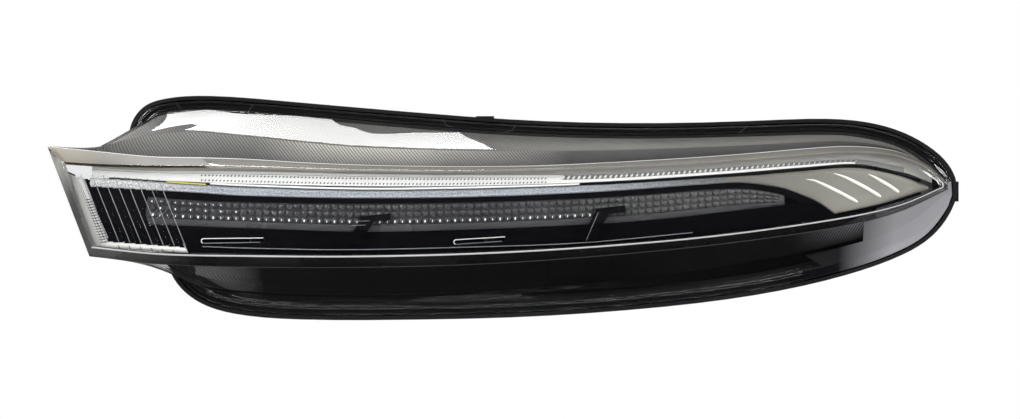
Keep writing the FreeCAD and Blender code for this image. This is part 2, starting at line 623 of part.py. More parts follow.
def lower_path(x):
    """Section of the lower screen, with its ledge, down to the shoulder of the tray."""
    foot = RIM_Y + SHOULDER_DEPTH - SEAT - SCREEN_THICKNESS
    inside = CHANNEL_IN + LIP_THICKNESS + SCREEN_FOOT
    front = sweep(x) + BEZEL_FRONT + BEZEL_THICKNESS + SEAT
    start = height(FACE_BOTTOM, x)
    ledge_y, ledge_z = crease_depth(x) + SCREEN_MARGIN, height(CREASE_BOTTOM, x) + LENS_WALL + SCREEN_MARGIN
    return [(front, start + SCREEN_STEP + SCREEN_THICKNESS), (front, start - SCREEN_THICKNESS),
            (ledge_y - SCREEN_STEP, ledge_z + SCREEN_STEP), (ledge_y, ledge_z + SCREEN_STEP),
            (ledge_y, ledge_z), (foot, height(rim_line(RIM_BOTTOM, inside), x))]


def tip_screen():
    """Satin plate that closes the outboard end, flat on the shoulder of the tray."""
    inset = CHANNEL_IN + LIP_THICKNESS + TIP_GAP
    top = [p for p in rim_line(RIM_TOP, -inset) if p[0] > TIP_LEFT]
    bottom = [p for p in rim_line(RIM_BOTTOM, inset) if p[0] > TIP_LEFT]
    top = [(TIP_LEFT, height(rim_line(RIM_TOP, -inset), TIP_LEFT))] + top
    bottom = [(TIP_LEFT, height(rim_line(RIM_BOTTOM, inset), TIP_LEFT))] + bottom
    plate = Part.Face(outline(top, bottom[::-1])).extrude(Vector(0, SCREEN_THICKNESS, 0))
    return plate.translated(Vector(0, RIM_Y + SHOULDER_DEPTH - FIT - SCREEN_THICKNESS, 0))


def upper_screen():
    """Satin wall over the blade."""
    return screen(upper_path, UPPER_LEFT, SCREEN_RIGHT, -0.7)


def left_screen():
    """Satin wall that goes on from the upper screen into the square end, without a foot."""
    return screen(lambda x: upper_path(x)[:3], LEFT_SCREEN_END, UPPER_LEFT - SCREEN_GAP, -0.7)


def lower_screen():
    """Black wall under the blade."""
    return screen(lower_path, LOWER_LEFT, SCREEN_RIGHT, 0.7)


# Pieces that lie behind the blade's face

def left_line(top, bottom, inset):
    """Square end of an outline that is moved in from the blade's face."""
    lean = (FACE_BOTTOM[0][0] - FACE_TOP[0][0]) / (FACE_TOP[0][1] - FACE_BOTTOM[0][1])

    def at(z):
        return FACE_TOP[0][0] + lean * (FACE_TOP[0][1] - z) + inset

    return [(at(bottom), bottom), (at(top), top)]


def main_bezel():
    """Black plate behind the blade, with the optic's window, two slots, a bead and two clips."""
    high = height(GUIDE_BOTTOM, FACE_TOP[0][0]) - BEZEL_TOP_GAP
    left = left_line(high, FACE_BOTTOM[0][1] + BEZEL_BOTTOM_GAP, LENS_WALL + BEZEL_SIDE_GAP)
    top = shifted(GUIDE_BOTTOM, -BEZEL_TOP_GAP, left[1][0], BEZEL_RIGHT, 21)
    bottom = shifted(FACE_BOTTOM, BEZEL_BOTTOM_GAP, left[0][0], BEZEL_RIGHT)
    window = outline(shifted(OPTIC_TOP, 0.0, OPTIC_LEFT - SEAT),
                     shifted(OPTIC_LIP, 0.0, OPTIC_LEFT - SEAT)[::-1])
    slots = [slanted_bar(a, b, SLOT_HEIGHT) for a, b in BEZEL_SLOTS]
    edge = outline(top, bottom[::-1])
    plate = swept(edge, BEZEL_FRONT, BEZEL_FRONT + BEZEL_THICKNESS, [window] + slots)
    bite = BEZEL_THICKNESS / 2
    fold = outline(FOLD, shifted(FOLD, -BEAD_HEIGHT)[::-1])
    bead = swept(fold, BEZEL_FRONT - BEAD_HEIGHT, BEZEL_FRONT + bite)
    adds = [bead]
    head_front = BEZEL_FRONT - OPTIC_CREST - SEAT - CLIP_THICKNESS
    for foot, neck in CLIPS:
        stop = neck[1]
        lip = height(OPTIC_LIP, foot[0]) - 2 * SEAT
        share = (lip - foot[1]) / (stop - foot[1])
        knee = (foot[0] + (neck[0] - foot[0]) * share, lip)
        adds.append(swept(leaning_bar(foot, knee, CLIP_WIDTH), head_front, BEZEL_FRONT + bite))
        adds.append(swept(leaning_bar(foot, neck, CLIP_WIDTH), head_front, head_front + CLIP_THICKNESS))
        long, tall = CLIP_HEAD
        tip = (neck[0] + long, neck[1] + tall / 2)
        adds.append(swept(slanted_bar((neck[0] - CLIP_WIDTH / 2, neck[1]), tip, tall), head_front,
                          head_front + CLIP_THICKNESS))
    return one_solid(plate.fuse(adds))


def silver_trim():
    """Bright strip under the light guide, its ribbed wing, and the frame round the square end."""
    foot_right = TRIM_FOOT[1]
    foot_low = (foot_right[0] + 1.4, foot_right[1] - TRIM_FOOT_HEIGHT)
    left = left_line(TRIM_TOP[0][1], TRIM_FOOT[0][1] - TRIM_FOOT_HEIGHT, TRIM_SIDE_GAP)
    top = [(left[1][0], left[1][1])] + TRIM_TOP[1:]
    edge = outline(top, WING_BOTTOM[::-1], TRIM_BOTTOM[::-1], TRIM_FOOT, [foot_low, left[0]])
    body = swept(edge, TRIM_FRONT, TRIM_FRONT + TRIM_THICKNESS)
    ribs = []
    for start, bend, end in WING_RIBS:
        run = Vector(end[0] - bend[0], 0, end[1] - bend[1]).normalize()
        side = (-run.z * RIB_WIDTH, run.x * RIB_WIDTH)
        upper = [start, bend, end]
        lower = [start, (bend[0] - side[0], bend[1] - side[1]), (end[0] - side[0], end[1] - side[1])]
        ribs.append(swept(outline(upper, lower[::-1]), TRIM_FRONT - RIB_HEIGHT, TRIM_FRONT + RIB_HEIGHT))
    return one_solid(body.fuse(ribs))


def light_guide():
    """Clear bar along the top of the blade; its back face carries the prism teeth."""
    edge = outline(shifted(GUIDE_TOP, 0.0, count=21), shifted(GUIDE_BOTTOM, 0.0, count=21)[::-1])
    return swept(edge, GUIDE_FRONT, GUIDE_FRONT + GUIDE_THICKNESS)


def inner_optic():
    """Clear band in the bezel's window: three rounded rows and a lower lip, with a flange behind."""
    sections = []
    for x in spread(OPTIC_LEFT, OPTIC_RIGHT, 15):
        top, low = height(OPTIC_TOP, x) - SEAT, height(OPTIC_LIP, x) + SEAT
        lip = low + OPTIC_LIP_HEIGHT * (top - low)
        row = (top - lip) / 3
        front = sweep(x) + BEZEL_FRONT
        flange, back = sweep(x) + OPTIC_BACK - OPTIC_FLANGE, sweep(x) + OPTIC_BACK

        def at(y, z):
            return Vector(x, y, z)

        under, over = low - OPTIC_OVERLAP, top + OPTIC_OVERLAP
        corners = [at(front, lip), at(front, low), at(flange, low), at(flange, under), at(back, under),
                   at(back, over), at(flange, over), at(flange, top), at(front, top)]
        edges = [smooth_edge([a, b]) for a, b in zip(corners, corners[1:])]
        for k in range(3):
            high, deep = top - k * row, top - (k + 1) * row
            crest = at(front - min(OPTIC_CREST, 0.4 * row), (high + deep) / 2)
            edges.append(Part.Arc(at(front, high), crest, at(front, deep)).toShape())
        sections.append(Part.Wire(edges))
    return Part.makeLoft(sections, True, True)


def band_outline(margin, right=0.0):
    """Outline of the optic's band with a margin round it."""
    top = shifted(OPTIC_TOP, margin, OPTIC_LEFT - margin, OPTIC_RIGHT + right)
    low = shifted(OPTIC_LIP, -margin, OPTIC_LEFT - margin, OPTIC_RIGHT + right)
    return outline(top, low[::-1])


def optic_reflector():
    """Metallised frame that carries light from the board to the optic."""
    inner = outline(shifted(OPTIC_TOP, 0.0, OPTIC_LEFT, OPTIC_RIGHT - REFLECTOR_WALL),
                    shifted(OPTIC_LIP, 0.0, OPTIC_LEFT, OPTIC_RIGHT - REFLECTOR_WALL)[::-1])
    return swept(band_outline(REFLECTOR_WALL), REFLECTOR_FRONT, REFLECTOR_FRONT + REFLECTOR_LENGTH, [inner])


def led_board():
    """Flexible board that lies on the heat sink."""
    return swept(band_outline(REFLECTOR_WALL), BOARD_FRONT, BOARD_FRONT + BOARD_THICKNESS)


def leds():
    """One row of light sources on the board, each square to it."""
    made = []
    count = int((OPTIC_RIGHT - OPTIC_LEFT) // LED_PITCH)
    start = (OPTIC_LEFT + OPTIC_RIGHT - (count - 1) * LED_PITCH) / 2
    for i in range(count):
        x = start + i * LED_PITCH
        z = (height(OPTIC_TOP, x) + height(OPTIC_LIP, x)) / 2
        chip = block(0, 0, -LED_HEIGHT, LED_SIZE, LED_HEIGHT, LED_SIZE)
        chip.rotate(Vector(0, 0, 0), Vector(0, 0, 1), math.degrees(math.atan(sweep_slope(x))))
        made.append(chip.translated(Vector(x, sweep(x) + BOARD_FRONT - LED_LIFT, z)))
    return Part.Compound(made)


def heat_sink():
    """Curved plate behind the board, with fins along its back and a lug over each post."""
    plate = swept(band_outline(SINK_MARGIN), SINK_FRONT, SINK_BACK)
    adds = []
    for share in (0.2, 0.5, 0.8):
        def level(x):
            return height(OPTIC_LIP, x) + share * (height(OPTIC_TOP, x) - height(OPTIC_LIP, x))
        stations = spread(OPTIC_LEFT + FIN_LENGTH, OPTIC_RIGHT - 4 * FIN_LENGTH)
        upper = [(x, level(x) + FIN_THICKNESS / 2) for x in stations]
        lower = [(x, level(x) - FIN_THICKNESS / 2) for x in reversed(stations)]
        adds.append(swept(outline(upper, lower), SINK_BACK - SINK_THICKNESS / 2, SINK_BACK + FIN_LENGTH))
    for x, z in SINK_POSTS:
        middle = (height(OPTIC_TOP, x) + height(OPTIC_LIP, x)) / 2
        adds.append(swept(slanted_bar((x, middle), (x, z + math.copysign(LUG_RADIUS, z)), 2 * LUG_RADIUS),
                          SINK_FRONT, SINK_BACK))
    body = plate.fuse(adds)
    holes = [cylinder(x, z, sweep(x), RIM_DEPTH, SHANK_RADIUS + SHANK_CLEARANCE) for x, z in SINK_POSTS]
    return one_solid(body.cut(holes))


def fluted_optic():
    """Clear plate in the square end with round flutes on its back and a leg down its left side."""
    top_left, top_right, low_right, low_left = FLUTE_CORNERS
    lean = (low_left[0] - top_left[0]) / (top_left[1] - low_left[1])
    rise = FACE_TOP[0][1] + FLUTE_PITCH
    drop = FACE_BOTTOM[3][1] - FLUTE_PITCH
    count = int((low_right[0] - top_left[0]) // FLUTE_PITCH) + 4
    start = top_left[0] - lean * (rise - top_left[1]) - FLUTE_PITCH
    back = FLUTE_FRONT + FLUTE_PLATE

    def at(x, behind):
        return Vector(x, sweep(x) + behind, rise)

    ends = [start, start + count * FLUTE_PITCH]
    edges = [smooth_edge([at(x, FLUTE_FRONT) for x in spread(ends[0], ends[1], 5)])]
    for i in range(count):
        x0, x1 = start + i * FLUTE_PITCH, start + (i + 1) * FLUTE_PITCH
        edges.append(Part.Arc(at(x0, back), at((x0 + x1) / 2, back + FLUTE_HEIGHT), at(x1, back)).toShape())
    edges += [smooth_edge([at(x, FLUTE_FRONT), at(x, back)]) for x in ends]
    profile = Part.Face(Part.Wire(Part.sortEdges(edges)[0]))
    sheet = profile.extrude(Vector(lean * (rise - drop), 0, drop - rise))
    corners = [Vector(x, 0, z) for x, z in (top_left, top_right, low_right, low_left)]
    deep = RIM_DEPTH + REACH_LEFT
    trim = Part.Face(Part.makePolygon(corners + corners[:1])).extrude(Vector(0, -2 * deep, 0))
    leg = swept(slanted_bar((top_left[0] + FLUTE_LEG, top_left[1] - FLUTE_LEG),
                            (low_left[0] + FLUTE_LEG, low_left[1] + FLUTE_LEG), FLUTE_LEG),
                FLUTE_FRONT + FLUTE_PLATE / 2, TRIM_FRONT - SEAT)
    return one_solid(sheet.common(trim).fuse(leg))


# Small parts: screws, boards, inlet and breather

def pan_screw(x, z, seat):
    """Pan-head screw driven along +Y, its head on a seat."""
    head = cylinder(x, z, seat - HEAD_HEIGHT, HEAD_HEIGHT, HEAD_RADIUS)
    rim = [e for e in head.Edges if abs(e.BoundBox.YMax - seat + HEAD_HEIGHT) < 1e-6 and len(e.Vertexes) == 1]
    head = head.makeFillet(HEAD_HEIGHT * 0.45, rim)
    recess = HEAD_RADIUS * 0.35
    cross = block(x, z, seat - HEAD_HEIGHT, 3 * recess, HEAD_HEIGHT / 2, recess)
    cross = cross.fuse(block(x, z, seat - HEAD_HEIGHT, recess, HEAD_HEIGHT / 2, 3 * recess))
    shank = cylinder(x, z, seat - HEAD_HEIGHT / 2, HEAD_HEIGHT / 2 + SHANK_LENGTH, SHANK_RADIUS)
    return one_solid(head.fuse(shank).cut(cross))


def sink_screws():
    """Screws that hold the heat sink's lugs to their posts."""
    made = []
    for x, z in SINK_POSTS:
        seat = min(sweep(x - HEAD_RADIUS), sweep(x + HEAD_RADIUS)) + SINK_FRONT - FIT
        made.append(pan_screw(x, z, seat))
    return Part.Compound(made)


def board_screws():
    """Screws at the corners of the driver board."""
    return Part.Compound([pan_screw(x, z, driver_back() - DRIVER_THICKNESS) for x, z in driver_posts()])


def driver_posts():
    """Posts under the corners of the driver board."""
    dx, dz = DRIVER_LENGTH / 2 - POST_RADIUS, DRIVER_HEIGHT / 2 - POST_RADIUS
    x, z = DRIVER_CENTRE
    return [(x + sx * dx, z + sz * dz) for sx in (-1, 1) for sz in (-1, 1)]


def driver_back():
    """Depth of the driver board's face that lies on its posts."""
    return FLOOR_Y - DRIVER_STANDOFF


def driver_board():
    """Flat board on four posts, with a hole for each terminal."""
    x, z = DRIVER_CENTRE
    board = block(x, z, driver_back() - DRIVER_THICKNESS, DRIVER_LENGTH, DRIVER_THICKNESS, DRIVER_HEIGHT)
    hole = TERMINAL_WIDTH + 2 * FIT
    cuts = [block(t, SOCKET_Z, driver_back() - 2 * DRIVER_THICKNESS, hole, 3 * DRIVER_THICKNESS, hole)
            for t in terminal_places()]
    cuts += [cylinder(px, pz, driver_back() - 2 * DRIVER_THICKNESS, 3 * DRIVER_THICKNESS,
                      SHANK_RADIUS + SHANK_CLEARANCE) for px, pz in driver_posts()]
    return one_solid(board.cut(cuts))


def driver_parts():
    """Coil, capacitors and driver chip that stand on the board."""
    x, z = DRIVER_CENTRE
    top = driver_back() - DRIVER_THICKNESS
    right, low = x + DRIVER_LENGTH / 2, z - DRIVER_HEIGHT / 2
    coil = block(right - COIL_SIZE - POST_RADIUS, z + COIL_SIZE / 2, top - COIL_HEIGHT, COIL_SIZE,
                 COIL_HEIGHT, COIL_SIZE)
    chip = block(x + CHIP_SIZE, z - CHIP_SIZE, top - CHIP_HEIGHT, CHIP_SIZE, CHIP_HEIGHT, CHIP_SIZE)
    cans = [cylinder(right - 2 * POST_RADIUS - k * CAN_PITCH, low + 3 * CAN_RADIUS, top - CAN_HEIGHT,
                     CAN_HEIGHT, CAN_RADIUS) for k in (1, 2)]
    return Part.Compound([coil, chip] + cans)


def terminal_places():
    """Stations of the inlet's terminals."""
    return [SOCKET_X + (i - (TERMINALS - 1) / 2) * TERMINAL_PITCH for i in range(TERMINALS)]


def connector_socket():
    """Inlet: a flange on the back wall, a shroud behind it and a plug that fills the hole in the wall."""
    flange_y = BACK_Y + SEAL_THICKNESS
    wide, tall = SOCKET_WIDTH + 2 * SOCKET_WALL, SOCKET_HEIGHT + 2 * SOCKET_WALL
    flange = block(SOCKET_X, SOCKET_Z, flange_y, wide + 2 * SOCKET_FLANGE, SOCKET_FLANGE_T,
                   tall + 2 * SOCKET_FLANGE)
    shroud = block(SOCKET_X, SOCKET_Z, flange_y, wide, SOCKET_FLANGE_T + SOCKET_REACH, tall)
    edges = [e for e in shroud.Edges if e.BoundBox.YLength > SOCKET_REACH]
    shroud = shroud.makeFillet(SOCKET_WALL, edges)
    plug_length = flange_y - FLOOR_Y + SOCKET_FLANGE_T
    plug = block(SOCKET_X, SOCKET_Z, FLOOR_Y, SOCKET_WIDTH, plug_length, SOCKET_HEIGHT)
    cavity = block(SOCKET_X, SOCKET_Z, flange_y + SOCKET_FLANGE_T, SOCKET_WIDTH, SOCKET_REACH, SOCKET_HEIGHT)
    key = block(SOCKET_X, SOCKET_Z + tall / 2, flange_y + SOCKET_FLANGE_T / 2, 4 * SOCKET_WALL,
                SOCKET_REACH / 2, 2 * SOCKET_WALL)
    hole = TERMINAL_WIDTH
    slots = [block(t, SOCKET_Z, FLOOR_Y - 1.0, hole, flange_y - FLOOR_Y + SOCKET_FLANGE_T + 2.0, hole)
             for t in terminal_places()]
    return one_solid(flange.fuse([shroud, plug, key]).cut([cavity] + slots))


def socket_seal():
    """Flat gasket between the inlet's flange and the back wall."""
    wide, tall = SOCKET_WIDTH + 2 * SOCKET_WALL, SOCKET_HEIGHT + 2 * SOCKET_WALL
    plate = block(SOCKET_X, SOCKET_Z, BACK_Y, wide + SOCKET_FLANGE, SEAL_THICKNESS, tall + SOCKET_FLANGE)
    hole = block(SOCKET_X, SOCKET_Z, BACK_Y - 1.0, SOCKET_WIDTH + 2 * FIT, SEAL_THICKNESS + 2.0,
                 SOCKET_HEIGHT + 2 * FIT)
    return one_solid(plate.cut(hole))


def terminal_pins():
    """Square pins from the driver board through the inlet into its shroud."""
    start = driver_back() - DRIVER_THICKNESS - 1.5
    end = BACK_Y + SEAL_THICKNESS + SOCKET_FLANGE_T + TERMINAL_REACH
    return Part.Compound([block(t, SOCKET_Z, start, TERMINAL_WIDTH, end - start, TERMINAL_WIDTH)
                          for t in terminal_places()])


def vent_cap():
    """Rubber cap pushed over the breather spigot."""
    spigot = VENT_BORE + VENT_WALL
    outer = spigot + FIT + VENT_CAP_WALL
    end = BACK_Y + VENT_SPIGOT
    skirt = cylinder(VENT_X, VENT_Z, end - VENT_CAP_SKIRT, VENT_CAP_SKIRT + FIT + VENT_CAP_WALL, outer)
    hollow = cylinder(VENT_X, VENT_Z, end - VENT_CAP_SKIRT, VENT_CAP_SKIRT + FIT, spigot + FIT)
    back = end + FIT + VENT_CAP_WALL
    rim = [e for e in skirt.Edges if abs(e.BoundBox.YMin - back) < 1e-6 and len(e.Vertexes) == 1]
    return one_solid(skirt.makeFillet(VENT_CAP_WALL * 0.6, rim).cut(hollow))


def guide_board():
    """Small board with the light source that feeds the outboard end of the light guide."""
    x = GUIDE_TOP[-1][0] + LED_HEIGHT + 2 * FIT
    z = (GUIDE_TOP[-1][1] + GUIDE_BOTTOM[-1][1]) / 2
    y = sweep(x) + GUIDE_FRONT + GUIDE_THICKNESS / 2
    corner = Vector(x, y - GUIDE_BOARD / 2, z - GUIDE_BOARD / 2)
    return Part.makeBox(GUIDE_BOARD_T, GUIDE_BOARD, GUIDE_BOARD, corner)


def guide_led():
    """Light source at the end of the light guide."""
    x = GUIDE_TOP[-1][0] + 2 * FIT
    z = (GUIDE_TOP[-1][1] + GUIDE_BOTTOM[-1][1]) / 2
    y = sweep(x) + GUIDE_FRONT + GUIDE_THICKNESS / 2
    size = GUIDE_TOP[-1][1] - GUIDE_BOTTOM[-1][1]
    return Part.makeBox(LED_HEIGHT, size, size, Vector(x, y - size / 2, z - size / 2))


PIECES = [outer_lens, lens_seal, housing, upper_screen, left_screen, lower_screen, tip_screen, main_bezel,
          silver_trim, light_guide, inner_optic, optic_reflector, led_board, leds, heat_sink, sink_screws,
          fluted_optic, driver_board, driver_parts, board_screws, connector_socket, socket_seal,
          terminal_pins, vent_cap, guide_board, guide_led]

if __name__ == "__main__":
    os.makedirs("parts", exist_ok=True)
    for piece in PIECES:
        shape = piece()
        print(piece.__name__, len(shape.Solids), shape.isValid(), round(shape.Volume / 1000, 2), "cm3")
        shape.exportStep(f"parts/{piece.__name__}.step")
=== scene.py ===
"""Looks of the car position lamp: clear lens, toothed light guide, pillow optic, silver wing, black bezel."""

import math

import bmesh
import bpy
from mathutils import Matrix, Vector


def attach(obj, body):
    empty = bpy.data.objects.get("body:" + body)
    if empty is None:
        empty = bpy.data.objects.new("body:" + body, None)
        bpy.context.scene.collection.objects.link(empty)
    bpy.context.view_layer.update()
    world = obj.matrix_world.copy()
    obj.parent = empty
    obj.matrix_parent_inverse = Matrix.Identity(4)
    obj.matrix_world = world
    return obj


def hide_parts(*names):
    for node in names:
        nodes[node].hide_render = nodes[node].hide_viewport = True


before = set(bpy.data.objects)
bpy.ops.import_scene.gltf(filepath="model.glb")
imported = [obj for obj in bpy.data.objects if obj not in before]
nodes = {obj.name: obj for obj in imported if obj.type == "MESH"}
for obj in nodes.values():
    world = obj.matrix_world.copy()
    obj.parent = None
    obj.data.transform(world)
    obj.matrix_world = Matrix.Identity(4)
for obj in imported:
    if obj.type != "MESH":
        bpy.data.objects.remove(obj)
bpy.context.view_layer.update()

# Lines of the lamp seen from the front, in millimetres, as in the part's source
FACE_TOP = [(-216.6, 22.7), (-198.3, 21.6), (-174.3, 21.1), (-150.2, 21.1), (-126.0, 20.8), (-101.8, 20.1),
            (-72.8, 19.4), (-34.0, 19.0), (-14.6, 19.2), (14.6, 19.9), (44.0, 20.9), (63.7, 21.8),
            (83.3, 22.8), (103.2, 24.2), (122.9, 25.7), (142.8, 27.3), (157.9, 28.5), (167.8, 29.0),
            (177.8, 28.8), (187.8, 27.6), (198.3, 24.9), (205.0, 21.6), (211.0, 17.0), (215.0, 12.9)]
FACE_BOTTOM = [(-202.4, -18.3), (-169.3, -21.6), (-130.7, -22.5), (-72.8, -22.8), (-14.6, -21.4),
               (44.0, -18.1), (103.2, -12.8), (163.3, -4.5), (193.6, 2.2), (215.0, 11.0)]
BASE_TOP = [(-224.9, 30.8), (-199.6, 28.2), (-174.7, 25.7), (-150.6, 25.2), (-126.5, 24.4), (-102.3, 22.9),
            (-73.2, 21.7), (-34.2, 21.0), (-14.7, 21.0), (14.7, 21.5), (44.2, 22.8), (64.0, 23.9),
            (83.8, 25.1), (103.7, 26.5), (123.7, 28.1), (143.8, 29.9), (158.8, 31.0), (168.8, 31.3),
            (183.9, 30.4), (194.0, 28.4), (204.2, 24.6), (212.0, 19.4), (218.4, 12.3)]
BASE_BOTTOM = [(-204.5, -22.8), (-170.1, -26.5), (-131.3, -28.0), (-73.1, -28.2), (-14.7, -26.7),
               (44.2, -22.8), (103.7, -17.0), (164.0, -8.4), (194.6, -0.2), (218.4, 10.5)]
CREASE_TOP = [(-205.4, 29.9), (-188.1, 35.1), (-163.4, 39.2), (-133.7, 37.2), (-104.0, 34.2), (-74.3, 31.6),
              (-14.9, 29.8), (44.7, 30.1), (104.6, 32.1), (144.6, 34.2), (169.7, 34.6), (194.9, 29.7),
              (219.0, 14.0)]
CREASE_BOTTOM = [(-172.6, -26.4), (-158.0, -36.6), (-130.0, -41.5), (-73.0, -43.5), (-15.0, -42.0),
                 (44.0, -38.0), (104.0, -30.5), (164.0, -19.5), (195.0, -9.0), (219.0, 8.6)]
RIM_TOP = [(-190.5, 36.2), (-188.5, 44.8), (-182.5, 51.8), (-172.5, 55.4), (-150.0, 56.8), (-115.0, 54.4),
           (-55.0, 49.2), (5.0, 44.8), (65.0, 43.2), (125.0, 44.5), (155.0, 45.4), (175.0, 44.2),
           (195.0, 39.2), (210.0, 31.2), (219.0, 22.8), (223.0, 14.8)]
RIM_BOTTOM = [(-170.5, -29.2), (-165.0, -38.8), (-155.0, -46.6), (-135.0, -52.6), (-105.0, -55.0),
              (-55.0, -55.2), (5.0, -53.8), (65.0, -49.8), (125.0, -42.4), (170.0, -32.2),
              (195.0, -23.2), (210.0, -14.2), (220.0, -1.8), (223.5, 6.8)]
RIM_LEFT = [(-180.0, -8.0), (-187.6, 14.0)]
GUIDE_TOP = [(-203.0, 20.4), (-184.0, 19.3), (-166.0, 18.8), (-131.3, 18.6), (-102.0, 18.1), (-73.1, 17.4),
             (-34.0, 16.9), (-14.7, 16.8), (14.7, 16.7), (44.2, 17.1), (64.0, 18.0), (83.8, 19.1),
             (103.7, 20.5), (143.7, 23.4), (173.1, 24.6), (196.0, 20.6)]
GUIDE_BOTTOM = [(-203.0, 16.0), (-184.0, 14.8), (-166.0, 13.7), (-131.3, 12.4), (-73.1, 11.2), (-14.7, 11.5),
                (44.2, 13.5), (103.7, 17.3), (143.7, 20.6), (173.1, 22.4), (196.0, 18.2)]
TRIM_TOP = [(-208.5, 15.6), (-160.6, 12.7), (-131.5, 11.0), (-73.2, 9.3), (-14.7, 10.0), (44.3, 12.1),
            (93.9, 15.1), (123.9, 17.1), (144.0, 18.9), (172.0, 20.6), (194.8, 16.6), (208.6, 11.6)]
TRIM_BOTTOM = [(-206.4, 11.2), (-190.0, 10.2), (-150.9, 7.9), (-131.5, 6.6), (-73.2, 5.4), (-14.7, 6.1),
               (44.3, 8.6), (93.9, 12.1), (114.0, 13.1), (134.0, 10.7), (144.0, 7.4), (154.0, 3.0), (161.2, -2.0)]
WING_BOTTOM = [(161.2, -2.0), (184.6, 3.0), (208.6, 10.4)]
OPTIC_TOP = [(-187.0, 7.1), (-151.4, 4.4), (-132.0, 3.7), (-73.5, 2.9), (-14.7, 3.7), (44.4, 5.9),
             (94.2, 9.4), (116.0, 10.4), (134.4, 7.7), (143.0, 4.6)]
OPTIC_LIP = [(-179.0, -7.2), (-131.8, -9.0), (-73.4, -11.0), (-24.5, -10.1), (24.6, -8.1), (64.2, -5.7),
             (94.1, -2.6), (124.2, 0.8), (143.0, 3.0)]

# Sizes in millimetres, as in the part's source
RIM_Y = -60.0
REACHES = ((-224.0, 50.0), (0.0, 38.0), (222.0, 10.0))
LENS_WALL = 2.4
BEVEL_DEPTH = 7.0
CREASE_SHARE = 0.35
CROWN = 3.0
MM = 0.001

# Depths behind the blade's face in millimetres, from front to back
FLUTE_LINE_DEPTH = 3.4
SHELF_FRONT, SHELF_BACK = 7.4, 8.2
GUIDE_FRONT = 7.5
TOOTH_DEPTH = 7.7
TICK_DEPTH = 7.85
HOOK_LINE_DEPTH = 8.2
TRIM_LINE_DEPTH = 8.4
FOOT_MARK_DEPTH = 8.6
SIDE_MARK_DEPTH = 8.75
TRIM_FRONT, TRIM_BACK = 8.8, 11.7
FOLD_LINE_DEPTH = 11.1
HIGHLIGHT_DEPTH = 11.15
BEZEL_LINE_DEPTH = 11.95
OPTIC_FRONT = 12.0
PILLOW_DEPTH = 12.4


# Lines and depths, as the part's source has them

def sweep(x):
    """Depth of the blade's face at a station."""
    (left, reach_left), (_, reach_mid), (right, reach_right) = REACHES
    fall_left = (reach_mid - reach_left) / left
    fall_right = (reach_mid - reach_right) / right
    bend = (fall_right - fall_left) / (right - left)
    return RIM_Y - reach_mid + (fall_left - bend * left) * x + bend * x * x


def behind(x, z, depth):
    """Point at a depth behind the blade's face."""
    return x, sweep(x) + depth, z


def height(line, x):
    """Height of a line at a station, on the smooth cubic through its points."""
    last = len(line) - 1

    def slope(i):
        a, b = line[max(i - 1, 0)], line[min(i + 1, last)]
        return (b[1] - a[1]) / (b[0] - a[0])

    if x <= line[0][0]:
        return line[0][1] + slope(0) * (x - line[0][0])
    if x >= line[last][0]:
        return line[last][1] + slope(last) * (x - line[last][0])
    i = max(k for k in range(last) if line[k][0] <= x)
    (x0, z0), (x1, z1) = line[i], line[i + 1]
    span = x1 - x0
    t = (x - x0) / span
    ease = t * t * (3 - 2 * t)
    return (z0 * (1 - ease) + z1 * ease + slope(i) * span * t * (1 - t) ** 2
            + slope(i + 1) * span * t * t * (t - 1))


def spread(start, end, count):
    """Evenly spaced values from start to end."""
    return [start + (end - start) * i / (count - 1) for i in range(count)]


def steps(start, end, pitch):
    """Values from start at a pitch, all before the end."""
    return [start + pitch * i for i in range(math.ceil((end - start) / pitch))]


def part_way(a, b, share):
    """Point on the straight way from one point to another."""
    return tuple(p + (q - p) * share for p, q in zip(a, b))


# Shader groups and materials

FLOAT, COLOUR = "NodeSocketFloat", "NodeSocketColor"
MIX_FIRST, MIX_SECOND, MIX_RESULT = 6, 7, 2   # colour sockets of a mix node
COAT_ROUGHNESS = 0.03
LINE_WANDER, LINE_RISE = 0.0002, 0.0004       # metres
CLEAR_HAZE = 0.03                             # most roughness of clear plastic
CLEAR_SHADOW = 0.9                            # light that clear plastic lets through in its shadow


def rgba(tint):
    """Full colour from three values or from one grey."""
    return (tint, tint, tint, 1.0) if isinstance(tint, float) else (*tint, 1.0)


def feed(tree, node, inputs):
    """Fills a node's inputs with plain values or links them to sockets."""
    for key, source in inputs.items():
        if isinstance(source, bpy.types.NodeSocket):
            tree.links.new(source, node.inputs[key])
        else:
            node.inputs[key].default_value = source
    return node


def add(tree, kind, inputs=None, **settings):
    """Adds a node with its settings and inputs."""
    node = tree.nodes.new(kind)
    for key, value in settings.items():
        setattr(node, key, value)
    return feed(tree, node, inputs or {})


def calculate(tree, operation, *values):
    """Result of a math node on values or sockets."""
    return add(tree, "ShaderNodeMath", dict(enumerate(values)), operation=operation).outputs["Value"]


def own_place(tree):
    """Coordinates of the piece, in metres."""
    return add(tree, "ShaderNodeTexCoord").outputs["Object"]


def noise(tree, scale, detail):
    """Noise over the piece."""
    inputs = {"Vector": own_place(tree), "Scale": scale, "Detail": detail}
    return add(tree, "ShaderNodeTexNoise", inputs).outputs["Fac"]


def ranged(tree, value, from_min, from_max, to_min=0.0, to_max=1.0):
    """A value carried over from one range to another."""
    inputs = {"Value": value, "From Min": from_min, "From Max": from_max, "To Min": to_min, "To Max": to_max}
    return add(tree, "ShaderNodeMapRange", inputs).outputs["Result"]


def two_tone(tree, share, first, second, blend="MIX"):
    """Colour mixed from two others."""
    inputs = {"Factor": share, MIX_FIRST: first, MIX_SECOND: second}
    return add(tree, "ShaderNodeMix", inputs, data_type="RGBA", blend_type=blend).outputs[MIX_RESULT]


def choose(tree, share, first, second):
    """Shader mixed from two others."""
    return add(tree, "ShaderNodeMixShader", {0: share, 1: first, 2: second}).outputs["Shader"]


